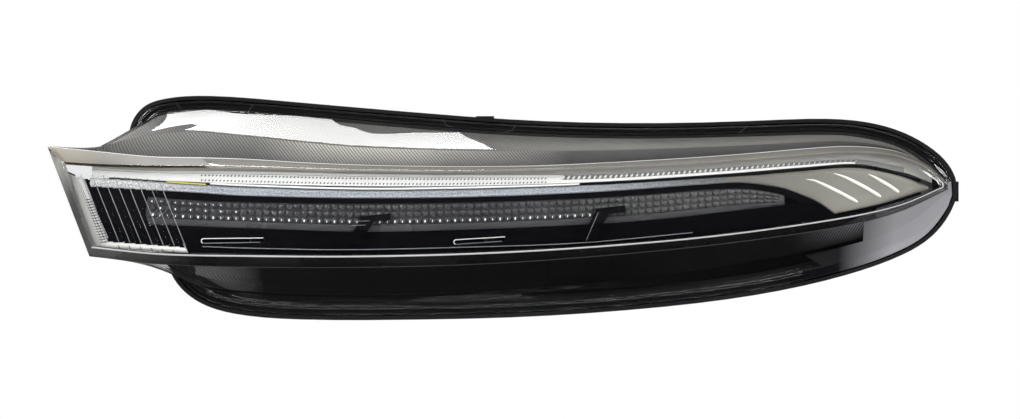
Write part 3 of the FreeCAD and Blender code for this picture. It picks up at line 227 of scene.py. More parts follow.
def shader_group(name, inputs, outputs):
    """An empty shader node group, with the sockets that it is given and those that it fills."""
    group = bpy.data.node_groups.new(name, "ShaderNodeTree")
    for label, kind, value in inputs:
        group.interface.new_socket(label, in_out="INPUT", socket_type=kind).default_value = value
    for label, kind in outputs:
        group.interface.new_socket(label, in_out="OUTPUT", socket_type=kind)
    return group, group.nodes.new("NodeGroupInput").outputs, group.nodes.new("NodeGroupOutput")


def build_fine_lines():
    """Height of straight moulded lines, turned about the depth axis."""
    tree, given, made = shader_group(
        "fine_lines", [("Pitch", FLOAT, 0.002), ("Turn", FLOAT, 0.0), ("Wander", FLOAT, 0.0)], [("Height", FLOAT)])
    angle = add(tree, "ShaderNodeCombineXYZ", {"Y": given["Turn"]}).outputs["Vector"]
    turned = add(tree, "ShaderNodeVectorRotate", {"Vector": own_place(tree), "Rotation": angle},
                 rotation_type="EULER_XYZ")
    split = add(tree, "ShaderNodeSeparateXYZ", {"Vector": turned.outputs["Vector"]})
    drift = calculate(tree, "MULTIPLY", noise(tree, 40.0, 2.0), given["Wander"])
    turns = calculate(tree, "DIVIDE", calculate(tree, "ADD", split.outputs["X"], drift), given["Pitch"])
    wave = calculate(tree, "SINE", calculate(tree, "MULTIPLY", turns, math.tau))
    feed(tree, made, {"Height": calculate(tree, "MULTIPLY_ADD", wave, 0.5, 0.5)})
    return tree


def build_mottle():
    """Slow and fine variation of a moulded surface: a tint, a roughness and a grain height."""
    tree, given, made = shader_group(
        "moulded_mottle", [("Dark", COLOUR, (0, 0, 0, 1)), ("Light", COLOUR, (1, 1, 1, 1)),
                           ("Smooth", FLOAT, 0.2), ("Rough", FLOAT, 0.4), ("Grain", FLOAT, 900.0)],
        [("Color", COLOUR), ("Roughness", FLOAT), ("Height", FLOAT)])
    slow = noise(tree, 22.0, 4.0)
    feed(tree, made, {"Color": two_tone(tree, slow, given["Dark"], given["Light"]),
                      "Roughness": ranged(tree, slow, 0.3, 0.7, given["Smooth"], given["Rough"]),
                      "Height": noise(tree, given["Grain"], 3.0)})
    return tree


LINES = build_fine_lines()
MOTTLE = build_mottle()


def new_material(name):
    """A material with its tree and its Principled shader."""
    material = bpy.data.materials.new(name)
    material.use_nodes = True
    return material, material.node_tree, material.node_tree.nodes["Principled BSDF"]


def moulded(name, dark, light, smooth, rough, grain=900.0, strength=0.1, depth=0.0002, metal=0.0, coat=0.0,
            specular=0.5):
    """Moulded plastic or metallised finish with slow mottle and a fine grain."""
    material, tree, shader = new_material(name)
    values = {"Dark": rgba(dark), "Light": rgba(light), "Smooth": smooth, "Rough": rough, "Grain": grain}
    mottle = add(tree, "ShaderNodeGroup", values, node_tree=MOTTLE).outputs
    raised = add(tree, "ShaderNodeBump", {"Height": mottle["Height"], "Strength": strength, "Distance": depth})
    feed(tree, shader, {"Base Color": mottle["Color"], "Roughness": mottle["Roughness"],
                        "Normal": raised.outputs["Normal"], "Metallic": metal, "Coat Weight": coat,
                        "Coat Roughness": COAT_ROUGHNESS, "Specular IOR Level": specular})
    return material


def tinted(material, tint):
    """Multiplies a finish's colour by a tint from its own tree."""
    tree = material.node_tree
    base = tree.nodes["Principled BSDF"].inputs["Base Color"]
    tree.links.new(two_tone(tree, 1.0, base.links[0].from_socket, tint, "MULTIPLY"), base)
    return material


def lined(name, dark, light, smooth, rough, pitch, turn, strength, metal=0.0, contrast=0.35, specular=0.5):
    """Moulded finish that also carries fine straight lines."""
    material = moulded(name, dark, light, smooth, rough, metal=metal, specular=specular)
    tree = material.node_tree
    values = {"Pitch": pitch, "Turn": turn, "Wander": LINE_WANDER}
    lines = add(tree, "ShaderNodeGroup", values, node_tree=LINES).outputs["Height"]
    normal = tree.nodes["Principled BSDF"].inputs["Normal"]
    raised = add(tree, "ShaderNodeBump", {"Height": lines, "Strength": strength, "Distance": LINE_RISE,
                                          "Normal": normal.links[0].from_socket})
    tree.links.new(raised.outputs["Normal"], normal)
    return tinted(material, ranged(tree, lines, 0.0, 1.0, 1.0 - contrast))


def fade_along(material, first, second, start, end, axis="X"):
    """Tints a finish from one colour to another between two places on an axis, in metres."""
    tree = material.node_tree
    split = add(tree, "ShaderNodeSeparateXYZ", {"Vector": own_place(tree)})
    share = ranged(tree, split.outputs[axis], start, end)
    tinted(material, two_tone(tree, share, rgba(first), rgba(second)))


def fade_across(material, inner, outer):
    """Tints a finish across the lens wall, by the mesh's own layer."""
    tree = material.node_tree
    across = add(tree, "ShaderNodeAttribute", attribute_name="across")
    tinted(material, two_tone(tree, across.outputs["Fac"], rgba(inner), rgba(outer)))


def sparkling(name, dark, light, smooth, rough):
    """Metallised finish with a fine glitter."""
    material = moulded(name, dark, light, smooth, rough, grain=1500.0, strength=0.5, depth=0.0003, metal=0.45)
    tree = material.node_tree
    share = ranged(tree, noise(tree, 1900.0, 2.0), 0.35, 0.6)
    feed(tree, tree.nodes["Principled BSDF"], {"Base Color": two_tone(tree, share, rgba(dark), rgba(light))})
    return material


def clear_plastic(name, tint, ior):
    """Clear plastic that lets light through to what is behind it."""
    material, tree, shader = new_material(name)
    haze = ranged(tree, noise(tree, 60.0, 5.0), 0.45, 0.8, 0.0, CLEAR_HAZE)
    feed(tree, shader, {"Base Color": rgba(tint), "Roughness": haze, "Transmission Weight": 1.0, "IOR": ior})
    passing = add(tree, "ShaderNodeBsdfTransparent", {"Color": rgba(CLEAR_SHADOW)})
    path = add(tree, "ShaderNodeLightPath")
    surface = choose(tree, path.outputs["Is Shadow Ray"], shader.outputs["BSDF"], passing.outputs["BSDF"])
    feed(tree, tree.nodes["Material Output"], {"Surface": surface})
    return material


# Finishes of the lens
clear_lens = clear_plastic("clear_lens", (0.985, 0.99, 0.99), 1.5)
# Near-white painted highlight for the rounded edges of the lens
lens_edge_highlight = moulded("lens_edge_highlight", 0.78, 0.92, 0.2, 0.3, strength=0.05, coat=0.5)
edge_grey = moulded("edge_grey", (0.07, 0.07, 0.072), (0.11, 0.11, 0.113), 0.2, 0.3, strength=0.05)
hatched_wall = lined("hatched_wall", (0.085, 0.083, 0.077), (0.15, 0.147, 0.137), 0.3, 0.45,
                     pitch=0.0011, turn=0.75, strength=0.4, contrast=0.6)
fade_along(hatched_wall, 1.0, (1.5, 1.5, 1.47), -0.08, 0.15)
fade_along(hatched_wall, (1.8, 1.78, 1.78), 1.0, -0.195, -0.165)
ribbed_wall = lined("ribbed_wall", (0.1, 0.1, 0.098), (0.17, 0.167, 0.158), 0.3, 0.45,
                    pitch=0.0012, turn=0.75, strength=0.4, contrast=0.75)
fade_along(ribbed_wall, 1.0, (0.16, 0.16, 0.175), -0.045, 0.03)
fade_along(ribbed_wall, 1.0, (2.1, 2.05, 1.98), -0.125, -0.095)
fade_across(ribbed_wall, (0.55, 0.55, 0.56), (1.5, 1.48, 1.42))
ribbed_dark = lined("ribbed_dark", (0.025, 0.025, 0.026), (0.055, 0.055, 0.058), 0.3, 0.45,
                    pitch=0.0012, turn=-0.5, strength=0.1, contrast=0.85, specular=0.1)
fade_along(ribbed_dark, 0.03, (2.4, 2.4, 2.45), 0.14, 0.172)
fade_across(ribbed_dark, 1.6, 0.0)
cream_bevel = moulded("cream_bevel", (0.18, 0.17, 0.145), (0.26, 0.247, 0.21), 0.4, 0.5, strength=0.05)
fade_along(cream_bevel, (0.6, 0.59, 0.57), (0.62, 0.62, 0.63), -0.17, -0.08)
fade_along(cream_bevel, (1.75, 1.65, 1.5), 1.0, -0.214, -0.197)
smoked_bevel = moulded("smoked_bevel", (0.14, 0.14, 0.135), (0.22, 0.22, 0.21), 0.2, 0.35, strength=0.05)
fade_along(smoked_bevel, 1.0, (0.03, 0.03, 0.036), -0.195, -0.15)
fade_along(smoked_bevel, (2.3, 2.27, 2.2), 0.6, -0.218, -0.211)
tip_satin = moulded("tip_satin", (0.32, 0.315, 0.335), (0.44, 0.434, 0.46), 0.3, 0.45, grain=1800.0,
                    strength=0.05, specular=0.15)
fade_along(tip_satin, (0.015, 0.015, 0.018), 1.0, 0.164, 0.192)

# Finishes of the guide, the optic and the trim
guide_white = moulded("guide_white", (0.82, 0.82, 0.8), (0.95, 0.95, 0.93), 0.12, 0.22, strength=0.05, coat=0.6)
guide_grey = moulded("guide_grey", (0.2, 0.2, 0.195), (0.3, 0.3, 0.29), 0.15, 0.25, strength=0.05, coat=0.6)
guide_shade = moulded("guide_shade", 0.05, 0.12, 0.2, 0.35, strength=0.05)
shelf_grey = moulded("shelf_grey", (0.13, 0.13, 0.127), (0.19, 0.19, 0.185), 0.25, 0.4)
fade_along(shelf_grey, (3.4, 3.3, 2.9), (2.4, 2.36, 2.25), -0.15, -0.06)
optic_acrylic = moulded("optic_acrylic", (0.035, 0.035, 0.038), (0.07, 0.07, 0.074), 0.1, 0.2, strength=0.04)
fade_along(optic_acrylic, 1.0, (1.6, 1.62, 1.5), 0.0, 0.08)
optic_lip = moulded("optic_lip", (0.045, 0.045, 0.048), (0.075, 0.075, 0.08), 0.2, 0.3)
# Near-white of the beads that paint highlights on the optic's pillows
highlight_white = moulded("highlight_white", (0.85, 0.87, 0.92), (0.97, 0.98, 1.0), 0.08, 0.16, strength=0.02, coat=0.8)
# Grey of thin painted highlights on the bezel's edges and between the flutes
highlight_grey = moulded("highlight_grey", (0.3, 0.31, 0.33), (0.42, 0.43, 0.45), 0.15, 0.25, strength=0.05, metal=0.3)
# Yellow of a painted reflection on the strip's upper edge
amber_glint = moulded("amber_glint", (0.5, 0.45, 0.08), (0.8, 0.72, 0.2), 0.15, 0.25, strength=0.05)
wing_satin = moulded("wing_satin", (0.23, 0.221, 0.19), (0.31, 0.3, 0.265), 0.35, 0.48, grain=2600.0,
                     strength=0.15, depth=0.0001, metal=0.35)
fade_along(wing_satin, (0.7, 0.7, 0.71), 1.0, 0.12, 0.16)
# The wing's ribs are real mouldings; their near-white colour is a painted highlight
rib_highlight = moulded("rib_highlight", (0.8, 0.79, 0.72), (0.95, 0.94, 0.88), 0.2, 0.3, strength=0.05, coat=0.4)
frame_cream = moulded("frame_cream", (0.84, 0.83, 0.8), (0.95, 0.94, 0.91), 0.25, 0.4)
silver_sparkle = sparkling("silver_sparkle", (0.24, 0.265, 0.315), (0.6, 0.63, 0.68), 0.3, 0.45)
fade_along(silver_sparkle, 1.0, (0.42, 0.41, 0.37), 0.03, 0.105)
fade_along(silver_sparkle, (1.7, 1.6, 1.45), 1.0, -0.185, -0.145)

# Finishes of the solids that show as they are
screen_black = lined("screen_black", 0.3, (0.45, 0.45, 0.44), 0.16, 0.3,
                     pitch=0.0013, turn=0.75, strength=0.15, contrast=0.6, specular=0.05)
fade_along(screen_black, 1.0, (0.002, 0.002, 0.003), -0.164, -0.122)
screen_grey = lined("screen_grey", 0.2, (0.36, 0.355, 0.34), 0.3, 0.45,
                    pitch=0.0012, turn=0.75, strength=0.4, metal=0.3, contrast=0.5)
fade_along(screen_grey, 1.0, 0.5, -0.12, 0.06)
tip_grey = moulded("tip_grey", (0.27, 0.265, 0.285), (0.36, 0.355, 0.38), 0.35, 0.5, grain=1800.0, metal=0.2)
fade_along(tip_grey, 1.0, 0.3, 0.004, 0.012, "Z")
fade_along(tip_grey, (0.03, 0.03, 0.034), 1.0, 0.165, 0.19)
SOLID_FINISHES = {
    ("lower_screen",): screen_black,
    ("upper_screen", "left_screen"): screen_grey,
    ("tip_screen",): tip_grey,
    ("main_bezel",): lined("bezel_black", (0.002, 0.002, 0.003), (0.006, 0.006, 0.008), 0.08, 0.16,
                           pitch=0.0032, turn=0.9, strength=0.05, specular=0.3),
    ("fluted_optic",): clear_plastic("clear_flutes", (0.97, 0.975, 0.98), 1.12),
    ("housing",): moulded("housing_black", (0.006, 0.006, 0.007), (0.014, 0.014, 0.016), 0.42, 0.6,
                          grain=1400.0, strength=0.3, specular=0.3),
    ("lens_seal",): moulded("seal_black", 0.002, 0.005, 0.4, 0.6, strength=0.3, specular=0.1),
    ("optic_reflector",): moulded("reflector_bright", (0.7, 0.71, 0.73), (0.86, 0.87, 0.88), 0.08, 0.16, metal=1.0),
    ("led_board",): moulded("board_white", (0.72, 0.72, 0.69), (0.82, 0.82, 0.79), 0.4, 0.55),
    ("driver_board", "guide_board"): moulded("board_green", (0.012, 0.09, 0.035), (0.02, 0.13, 0.055), 0.3, 0.45),
    ("leds", "guide_led"): moulded("led_yellow", (0.8, 0.62, 0.2), (0.9, 0.78, 0.35), 0.2, 0.35),
    ("heat_sink",): moulded("sink_aluminium", (0.55, 0.56, 0.57), (0.68, 0.69, 0.7), 0.35, 0.5, strength=0.3,
                            metal=1.0),
    ("sink_screws", "board_screws"): moulded("screw_zinc", (0.52, 0.52, 0.5), (0.64, 0.63, 0.6), 0.25, 0.4,
                                             metal=1.0),
    ("driver_parts",): moulded("component_grey", (0.02, 0.02, 0.022), (0.04, 0.04, 0.045), 0.35, 0.55),
    ("connector_socket",): moulded("inlet_grey", (0.03, 0.03, 0.033), (0.055, 0.055, 0.06), 0.4, 0.55,
                                   strength=0.25),
    ("socket_seal", "vent_cap"): moulded("soft_black", 0.012, 0.025, 0.6, 0.8, strength=0.4),
    ("terminal_pins",): moulded("terminal_tin", (0.6, 0.56, 0.45), (0.72, 0.68, 0.56), 0.25, 0.4, metal=1.0),
}
for solids, finish in SOLID_FINISHES.items():
    for name in solids:
        nodes[name].data.materials.clear()
        nodes[name].data.materials.append(finish)


# Meshes

SMOOTH_ANGLE, TRIM_ANGLE, BAR_ANGLE = 60.0, 50.0, 35.0   # edges with more degrees between their faces stay sharp
TUBE_SIDES = 8


def place(name, data):
    """A new object in the scene."""
    made = bpy.data.objects.new(name, data)
    bpy.context.scene.collection.objects.link(made)
    return made


def settle(piece, replaces=()):
    """Rides a finished piece on the lamp and hides the solids that it takes the place of."""
    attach(piece, "root")
    for node in replaces:
        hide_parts(node)


def finish_piece(name, solid, materials, replaces=(), angle=SMOOTH_ANGLE, finishes=None, across=None):
    """Makes a piece from points in millimetres and their faces, smooth up to an angle."""
    verts, faces = solid
    mesh = bpy.data.meshes.new(name)
    mesh.from_pydata([(x * MM, y * MM, z * MM) for x, y, z in verts], [], faces)
    for material in materials:
        mesh.materials.append(material)
    if finishes:
        mesh.polygons.foreach_set("material_index", finishes)
    if across:
        mesh.attributes.new("across", "FLOAT", "POINT").data.foreach_set("value", across)
    work = bmesh.new()
    work.from_mesh(mesh)
    bmesh.ops.remove_doubles(work, verts=work.verts, dist=1e-6)
    bmesh.ops.recalc_face_normals(work, faces=work.faces)
    work.to_mesh(mesh)
    work.free()
    mesh.shade_smooth()
    mesh.set_sharp_from_angle(angle=math.radians(angle))
    settle(place(name, mesh), replaces)


def join_meshes(parts):
    """One list of points and faces from several."""
    verts, faces = [], []
    for part_verts, part_faces in parts:
        base = len(verts)
        verts += part_verts
        faces += [tuple(base + i for i in face) for face in part_faces]
    return verts, faces


def ring_faces(count, size):
    """Faces between neighbouring rings of points, ring by ring."""
    faces = []
    for start in range(0, (count - 1) * size, size):
        for k in range(size):
            a, b = start + k, start + (k + 1) % size
            faces.append((a, b, b + size, a + size))
    return faces


def loft(sections):
    """Closed mesh through closed sections with the same number of points. Its last two faces are the ends."""
    size = len(sections[0])
    verts = [point for section in sections for point in section]
    ends = [tuple(range(size - 1, -1, -1)), tuple(range(len(verts) - size, len(verts)))]
    return verts, ring_faces(len(sections), size) + ends


def tube(path, radius):
    """Round bar along (x, y, z) points."""
    sections = []
    for i, point in enumerate(path):
        before, after = path[max(i - 1, 0)], path[min(i + 1, len(path) - 1)]
        run = (Vector(after) - Vector(before)).normalized()
        across = run.cross(Vector((0.0, 1.0, 0.0))).normalized()
        front = across.cross(run)
        turns = [math.tau * k / TUBE_SIDES for k in range(TUBE_SIDES)]
        sections.append([tuple(Vector(point) + across * radius * math.cos(turn) + front * radius * math.sin(turn))
                         for turn in turns])
    return loft(sections)


def resample(points, count, rise=1.0):
    """Evenly spaced points on the smooth curve through (x, z) points, with a share of the rise in the spacing."""
    fine = []
    last = len(points) - 1
    for i in range(last):
        p0, p1, p2, p3 = points[max(i - 1, 0)], points[i], points[i + 1], points[min(i + 2, last)]
        for t in spread(0.0, 1.0, 25)[:-1]:
            fine.append(tuple(0.5 * (2 * b + (c - a) * t + (2 * a - 5 * b + 4 * c - d) * t * t
                                     + (3 * b - a - 3 * c + d) * t ** 3) for a, b, c, d in zip(p0, p1, p2, p3)))
    fine.append(points[-1])
    lengths = [0.0]
    for a, b in zip(fine, fine[1:]):
        lengths.append(lengths[-1] + math.hypot(b[0] - a[0], rise * (b[1] - a[1])))
    out, j = [], 0
    for want in spread(0.0, lengths[-1], count):
        while j < len(fine) - 2 and lengths[j + 1] < want:
            j += 1
        out.append(part_way(fine[j], fine[j + 1], (want - lengths[j]) / max(lengths[j + 1] - lengths[j], 1e-9)))
    return out


# Outer lens

LENS_LONG, LENS_SHORT = 150, 9       # points on a long and on a short side of a loop
TIP_GAP = 1.5                        # where the upper and lower lines of a loop are this close, it ends
EDGE_ROUND = 0.7
CREASE_CROWD = 0.1
FLANGE_BACK = RIM_Y + 2.2
FOOT_BACK = FLANGE_BACK + 4.0
WALL_FOOT, WALL_FOOT_AT_TIP = 6.8, 3.4
RIM_TIP = (192.0, 223.5)             # stations between which the inset at the tip takes over
RIM_RISE = 0.3
RIM_STEPS = ((2.4, RIM_Y), (2.4, FLANGE_BACK), (3.2, FLANGE_BACK), (3.2, FOOT_BACK),
             (5.4, FOOT_BACK), (5.4, FLANGE_BACK), (9.2, FLANGE_BACK))   # insets and depths of flange and foot
OUTER_SKIN = {"face_inset": 0.0, "base_inset": 0.0, "wall": 0.0, "soften": 1.0}
INNER_SKIN = {"face_inset": 0.9, "base_inset": 1.3, "wall": LENS_WALL, "soften": 0.6}

# Bands of faces from the outer face over the rim to the inner face, and the rings of the inner crease
FACE_EDGE, OUTER_BEVEL, BASE_EDGE = range(1, 5), range(5, 7), range(7, 9)
OUTER_WALL, WALL_ABOVE_CREASE = range(10, 23), 10
INNER_WALL, INNER_RIBS, RIBBED_STRIP = range(53, 63), range(58, 63), range(60, 62)
INNER_BEVEL = range(62, 69)
CREASE_RINGS = range(56, 61)

# Stations where finishes change
SATIN_FROM = 148.0
SATIN_STEP, SATIN_LEAN = (176.0, -7.0), 0.4   # slanted edge of the satin above the crease
HIGHLIGHT_TIP, HATCH_END = 210.0, 204.0
CREAM_END, SMOKE_END, RIBS_FROM = -145.0, 150.0, 20.0


def blade_ends(top, bottom, inset):
    """Stations where an inset outline starts above, starts below and ends."""
    lean = (bottom[0][0] - top[0][0]) / (top[0][1] - bottom[0][1])
    low, high = 0.0, min(top[-1][0], bottom[-1][0])
    for _ in range(40):
        middle = (low + high) / 2
        if height(top, middle) - height(bottom, middle) > 2 * inset + TIP_GAP:
            low = middle
        else:
            high = middle
    return top[0][0] + inset * (1 + lean), bottom[0][0] + inset * (1 - lean), low


def crowded(start, end, crowd):
    """Stations of a long side, closer together near the start."""
    shares = [t * t / (t + crowd) * (1 + crowd) if t else 0.0 for t in spread(0.0, 1.0, LENS_LONG)]
    return [start + (end - start) * t for t in shares]


def between(a, b):
    """Points of a short side, strictly between its ends."""
    return [part_way(a, b, share) for share in spread(0.0, 1.0, LENS_SHORT)[1:-1]]


def blade_loop(top, bottom, inset, depth, crowd=0.0):
    """Points round an outline of the blade: along the top, down the tip, back below and up the square end."""
    left_top, left_bottom, tip = blade_ends(top, bottom, inset)
    upper = [(x, depth(x), height(top, x) - inset) for x in crowded(left_top, tip, crowd)]
    lower = [(x, depth(x), height(bottom, x) + inset) for x in reversed(crowded(left_bottom, tip, crowd))]
    return upper + between(upper[-1], lower[0]) + lower + between(lower[-1], upper[0])


def rim_loop(inset, depth, tip_inset):
    """Points round the rim, moved in by an inset that may differ at the tip."""
    sides = [RIM_TOP, [RIM_TOP[-1], RIM_BOTTOM[-1]], RIM_BOTTOM[::-1], [RIM_BOTTOM[0]] + RIM_LEFT + [RIM_TOP[0]]]
    loop = [point for side in sides for point in side[:-1]]
    moved = []
    for i, (x, z) in enumerate(loop):
        before, after = loop[i - 1], loop[(i + 1) % len(loop)]
        run = Vector((after[0] - before[0], after[1] - before[1])).normalized()
        share = max(0.0, (x - RIM_TIP[0]) / (RIM_TIP[1] - RIM_TIP[0]))
        reach = inset + (tip_inset - inset) * share
        moved.append((x + run.y * reach, z - run.x * reach))
    out, start = [], 0
    for number, side in enumerate(sides):
        points = [moved[(start + k) % len(loop)] for k in range(len(side))]
        short = number % 2
        sampled = resample(points, LENS_SHORT)[1:-1] if short else resample(points, LENS_LONG, RIM_RISE)
        out += [(x, depth, z) for x, z in sampled]
        start += len(side) - 1
    return out


def rounded(loops):
    """Replaces each inner loop of a chain by an arc of loops, so that its edge is rounded."""
    shares = spread(0.0, 1.0, 5)
    out = [loops[0]]
    for before, loop, after in zip(loops, loops[1:], loops[2:]):
        arcs = [[] for _ in shares]
        for p, q, r in zip(before, loop, after):
            p, q, r = Vector(p), Vector(q), Vector(r)
            a = q + (p - q).normalized() * min(EDGE_ROUND, 0.4 * (p - q).length)
            b = q + (r - q).normalized() * min(EDGE_ROUND, 0.4 * (r - q).length)
            for arc, t in zip(arcs, shares):
                arc.append(tuple(a * (1 - t) ** 2 + q * 2 * t * (1 - t) + b * t * t))
        out += arcs
    return out + [loops[-1]]


def blade_face(inset, wall):
    """Grid of the crowned blade face, with its rim of points in loop order."""
    left_top, left_bottom, tip = blade_ends(FACE_TOP, FACE_BOTTOM, inset)
    tallest = FACE_TOP[0][1] - FACE_BOTTOM[0][1]
    grid = []
    for a, b in zip(spread(left_top, tip, LENS_LONG), spread(left_bottom, tip, LENS_LONG)):
        upper, lower = height(FACE_TOP, a) - inset, height(FACE_BOTTOM, b) + inset
        column = []
        for share in spread(0.0, 1.0, LENS_SHORT):
            bulge = CROWN * (upper - lower) / tallest * 4 * share * (1 - share)
            column.append(behind(*part_way((a, upper), (b, lower), share), wall - bulge))
        grid.append(column)
    top = [column[0] for column in grid]
    bottom = [column[-1] for column in reversed(grid)]
    return grid, top + grid[-1][1:-1] + bottom + grid[0][-2:0:-1]


def lens_skin(face_inset, base_inset, wall, soften):
    """Loops of one skin of the lens from its face to the crease, and the face's grid."""
    grid, rim = blade_face(face_inset + soften, wall)
    edge = blade_face(face_inset, wall)[1]

    def base_depth(x):
        return sweep(x) + BEVEL_DEPTH

    def crease_depth(x):
        return RIM_Y + CREASE_SHARE * (base_depth(x) - RIM_Y)

    base = blade_loop(BASE_TOP, BASE_BOTTOM, base_inset, lambda x: base_depth(x) + wall)
    crease = blade_loop(CREASE_TOP, CREASE_BOTTOM, wall, lambda x: crease_depth(x) + wall / 2, CREASE_CROWD)
    return grid, [rim, edge, base, crease]


def lens_finish(band, number, point):
    """Finish of a lens face by its band, its number round the loop and a corner."""
    upper = number < LENS_LONG - 1
    end = number >= 2 * LENS_LONG + LENS_SHORT - 3
    lower = not end and number >= LENS_LONG + LENS_SHORT - 2
    x, _, z = point
    step = SATIN_STEP[0] + SATIN_LEAN * (z - SATIN_STEP[1])
    satin = step if band == WALL_ABOVE_CREASE else SATIN_FROM
    if band in OUTER_WALL and not upper and x > satin:
        return tip_satin
    # Painted highlight on the face's lower edge, on its tip and on the upper edge of the bevel's base
    if band in FACE_EDGE and (lower or x > HIGHLIGHT_TIP) or band in BASE_EDGE and upper:
        return lens_edge_highlight
    if band in BASE_EDGE and lower:
        return edge_grey
    if upper and band in INNER_WALL and x < HATCH_END:
        return ribbed_wall if band in INNER_RIBS else hatched_wall
    if upper and (band in INNER_BEVEL or band in OUTER_BEVEL and x < CREAM_END):
        return cream_bevel
    if band in INNER_BEVEL and (end or lower and x < SMOKE_END):
        return smoked_bevel
    if band in RIBBED_STRIP and lower and x > RIBS_FROM:
        return ribbed_dark
    return clear_lens


LENS_FINISHES = [clear_lens, lens_edge_highlight, edge_grey, hatched_wall, ribbed_wall, ribbed_dark, cream_bevel,
                 smoked_bevel, tip_satin]


def make_lens():
    """Clear lens with rounded edges, in the place of its solid."""
    outer_grid, outer = lens_skin(**OUTER_SKIN)
    inner_grid, inner = lens_skin(**INNER_SKIN)
    rim = [rim_loop(WALL_FOOT, RIM_Y, WALL_FOOT_AT_TIP)]
    rim += [rim_loop(inset, depth, inset) for inset, depth in RIM_STEPS]
    chain = rounded(outer + rim + inner[::-1])
    size = len(chain[0])
    verts = [point for loop in chain for point in loop]
    faces = ring_faces(len(chain), size)
    finishes = [LENS_FINISHES.index(lens_finish(i // size, i % size, verts[i])) for i in range(len(faces))]
    for grid in (outer_grid, inner_grid):
        base, rows = len(verts), len(grid[0])
        verts += [point for column in grid for point in column]
        for i in range(len(grid) - 1):
            for a in range(base + i * rows, base + (i + 1) * rows - 1):
                faces.append((a, a + 1, a + rows + 1, a + rows))
    finishes += [LENS_FINISHES.index(clear_lens)] * (len(faces) - len(finishes))
    across = [float(i // size in CREASE_RINGS) for i in range(len(verts))]
    finish_piece("lens", (verts, faces), LENS_FINISHES, ["outer_lens"], finishes=finishes,
                 across=across)


make_lens()


# Silver trim: one strip that widens into the wing, and the frame of the square end

TRIM_ROUND = 1.7
STRIP_END = 105.0                    # where the glittering strip turns into the satin wing
STRIP_SHARES = (0.0, 0.02, 0.06, 0.12, 0.2, 0.32, 0.5, 0.68, 0.8, 0.88, 0.94, 0.98, 1.0)
BAR_SHARES = (0.0, 0.05, 0.15, 0.3, 0.5, 0.7, 0.85, 0.95, 1.0)
FRAME_SIDE = ((-214.4, 15.2), (-202.8, -18.4)), ((-206.4, 12.4), (-196.0, -15.4))   # outer and inner edge
FRAME_FOOT = ((-201.4, -18.3), (-156.8, -21.3)), ((-197.0, -15.4), (-158.0, -18.4))
SIDE_START = -0.07                   # the side reaches this share of its length past its upper end
STRIP_STATIONS = spread(-204.0, 161.2, 150) + spread(161.9, 208.4, 30)   # up to the wing's corner and on from it


def cushioned(start, end, shares):
    """Closed section between two points of the front, with rounded front edges."""
    wide = math.dist(start, end)
    reach = min(TRIM_ROUND, wide / 2)
    section = []
    for share in shares:
        inside = min(wide * min(share, 1 - share), reach)
        fall = reach - math.sqrt(max(reach * reach - (reach - inside) ** 2, 0.0))
        section.append(behind(*part_way(start, end, share), TRIM_FRONT + fall))
    return section + [behind(*end, TRIM_BACK), behind(*start, TRIM_BACK)]


def strip_section(x):
    """Closed section of the strip or wing at a station."""
    low = height(TRIM_BOTTOM if x <= TRIM_BOTTOM[-1][0] else WING_BOTTOM, x)
    return cushioned((x, height(TRIM_TOP, x)), (x, low), STRIP_SHARES)


def frame_bar(edges, start=0.0):
    """Rounded straight bar between two edges."""
    outer, inner = edges
    return loft([cushioned(part_way(*outer, share), part_way(*inner, share), BAR_SHARES)
                 for share in spread(start, 1.0, 16)])


def make_trim():
    """Strip, wing and square-end frame as one moulding."""
    strip = loft([strip_section(x) for x in STRIP_STATIONS])
    verts, faces = join_meshes([strip, frame_bar(FRAME_SIDE, SIDE_START), frame_bar(FRAME_FOOT)])
    finishes = [int(verts[face[0]][0] < STRIP_END) for face in strip[1]]
    finishes += [2] * (len(faces) - len(finishes))
    finish_piece("silver_wing_and_strip", (verts, faces), [wing_satin, silver_sparkle, frame_cream],
                 ["silver_trim"], TRIM_ANGLE, finishes)


make_trim()


# Light guide, optic and their repeats

GUIDE_ENDS = (-203.0, 196.0)
GUIDE_GAP = (18.0, 26.0)             # smooth part between the two kinds of teeth
GUIDE_PLAIN = 171.0                  # the guide has no teeth from here on
GUIDE_THICK = 5.0
GUIDE_GROOVE = 2                     # row of faces in the step under the top rail
INBOARD_ROWS, OUTBOARD_ROWS = (0.22, 0.26, 0.92, 0.95), (0.05, 0.07, 0.55, 0.6)   # shares of the height
SHELF_STATIONS = spread(-203.0, 195.9, 140) + spread(196.0, 210.0, 12)   # over the guide and on to the tip
SHELF_GAP, SHELF_LIFT, SHELF_LAP, SHELF_LEAST = 0.05, 2.2, 0.1, 0.4
OPTIC_ENDS = (-177.0, 136.0)
OPTIC_MARGIN = 0.3
OPTIC_LIP_SHARE = 0.24
OPTIC_LIP_ROWS = (1, 2, 3)


def guide_section(x):
    """Closed section of the guide bar at a station: top rail, toothed band and lower rail."""
    top, low = height(GUIDE_TOP, x), height(GUIDE_BOTTOM, x)
    rail, band, band_end, low_rail = INBOARD_ROWS if x < GUIDE_GAP[1] else OUTBOARD_ROWS
    rows = ((0.0, 0.5), (0.02, 0.1), (rail, 0.0), (band, 0.4), (band_end, 0.4), (low_rail, 0.05), (0.98, 0.1),
            (1.0, 0.5), (1.0, GUIDE_THICK), (0.0, GUIDE_THICK))
    return [behind(x, top - share * (top - low), GUIDE_FRONT + back) for share, back in rows]


def guide_finish(x, row):
    """Grey in the groove, in the band of bright teeth and past the teeth, white elsewhere."""
    return int(row == GUIDE_GROOVE or x > GUIDE_GAP[1] and 3 <= row <= 4 or x > GUIDE_PLAIN and 1 <= row <= 6)


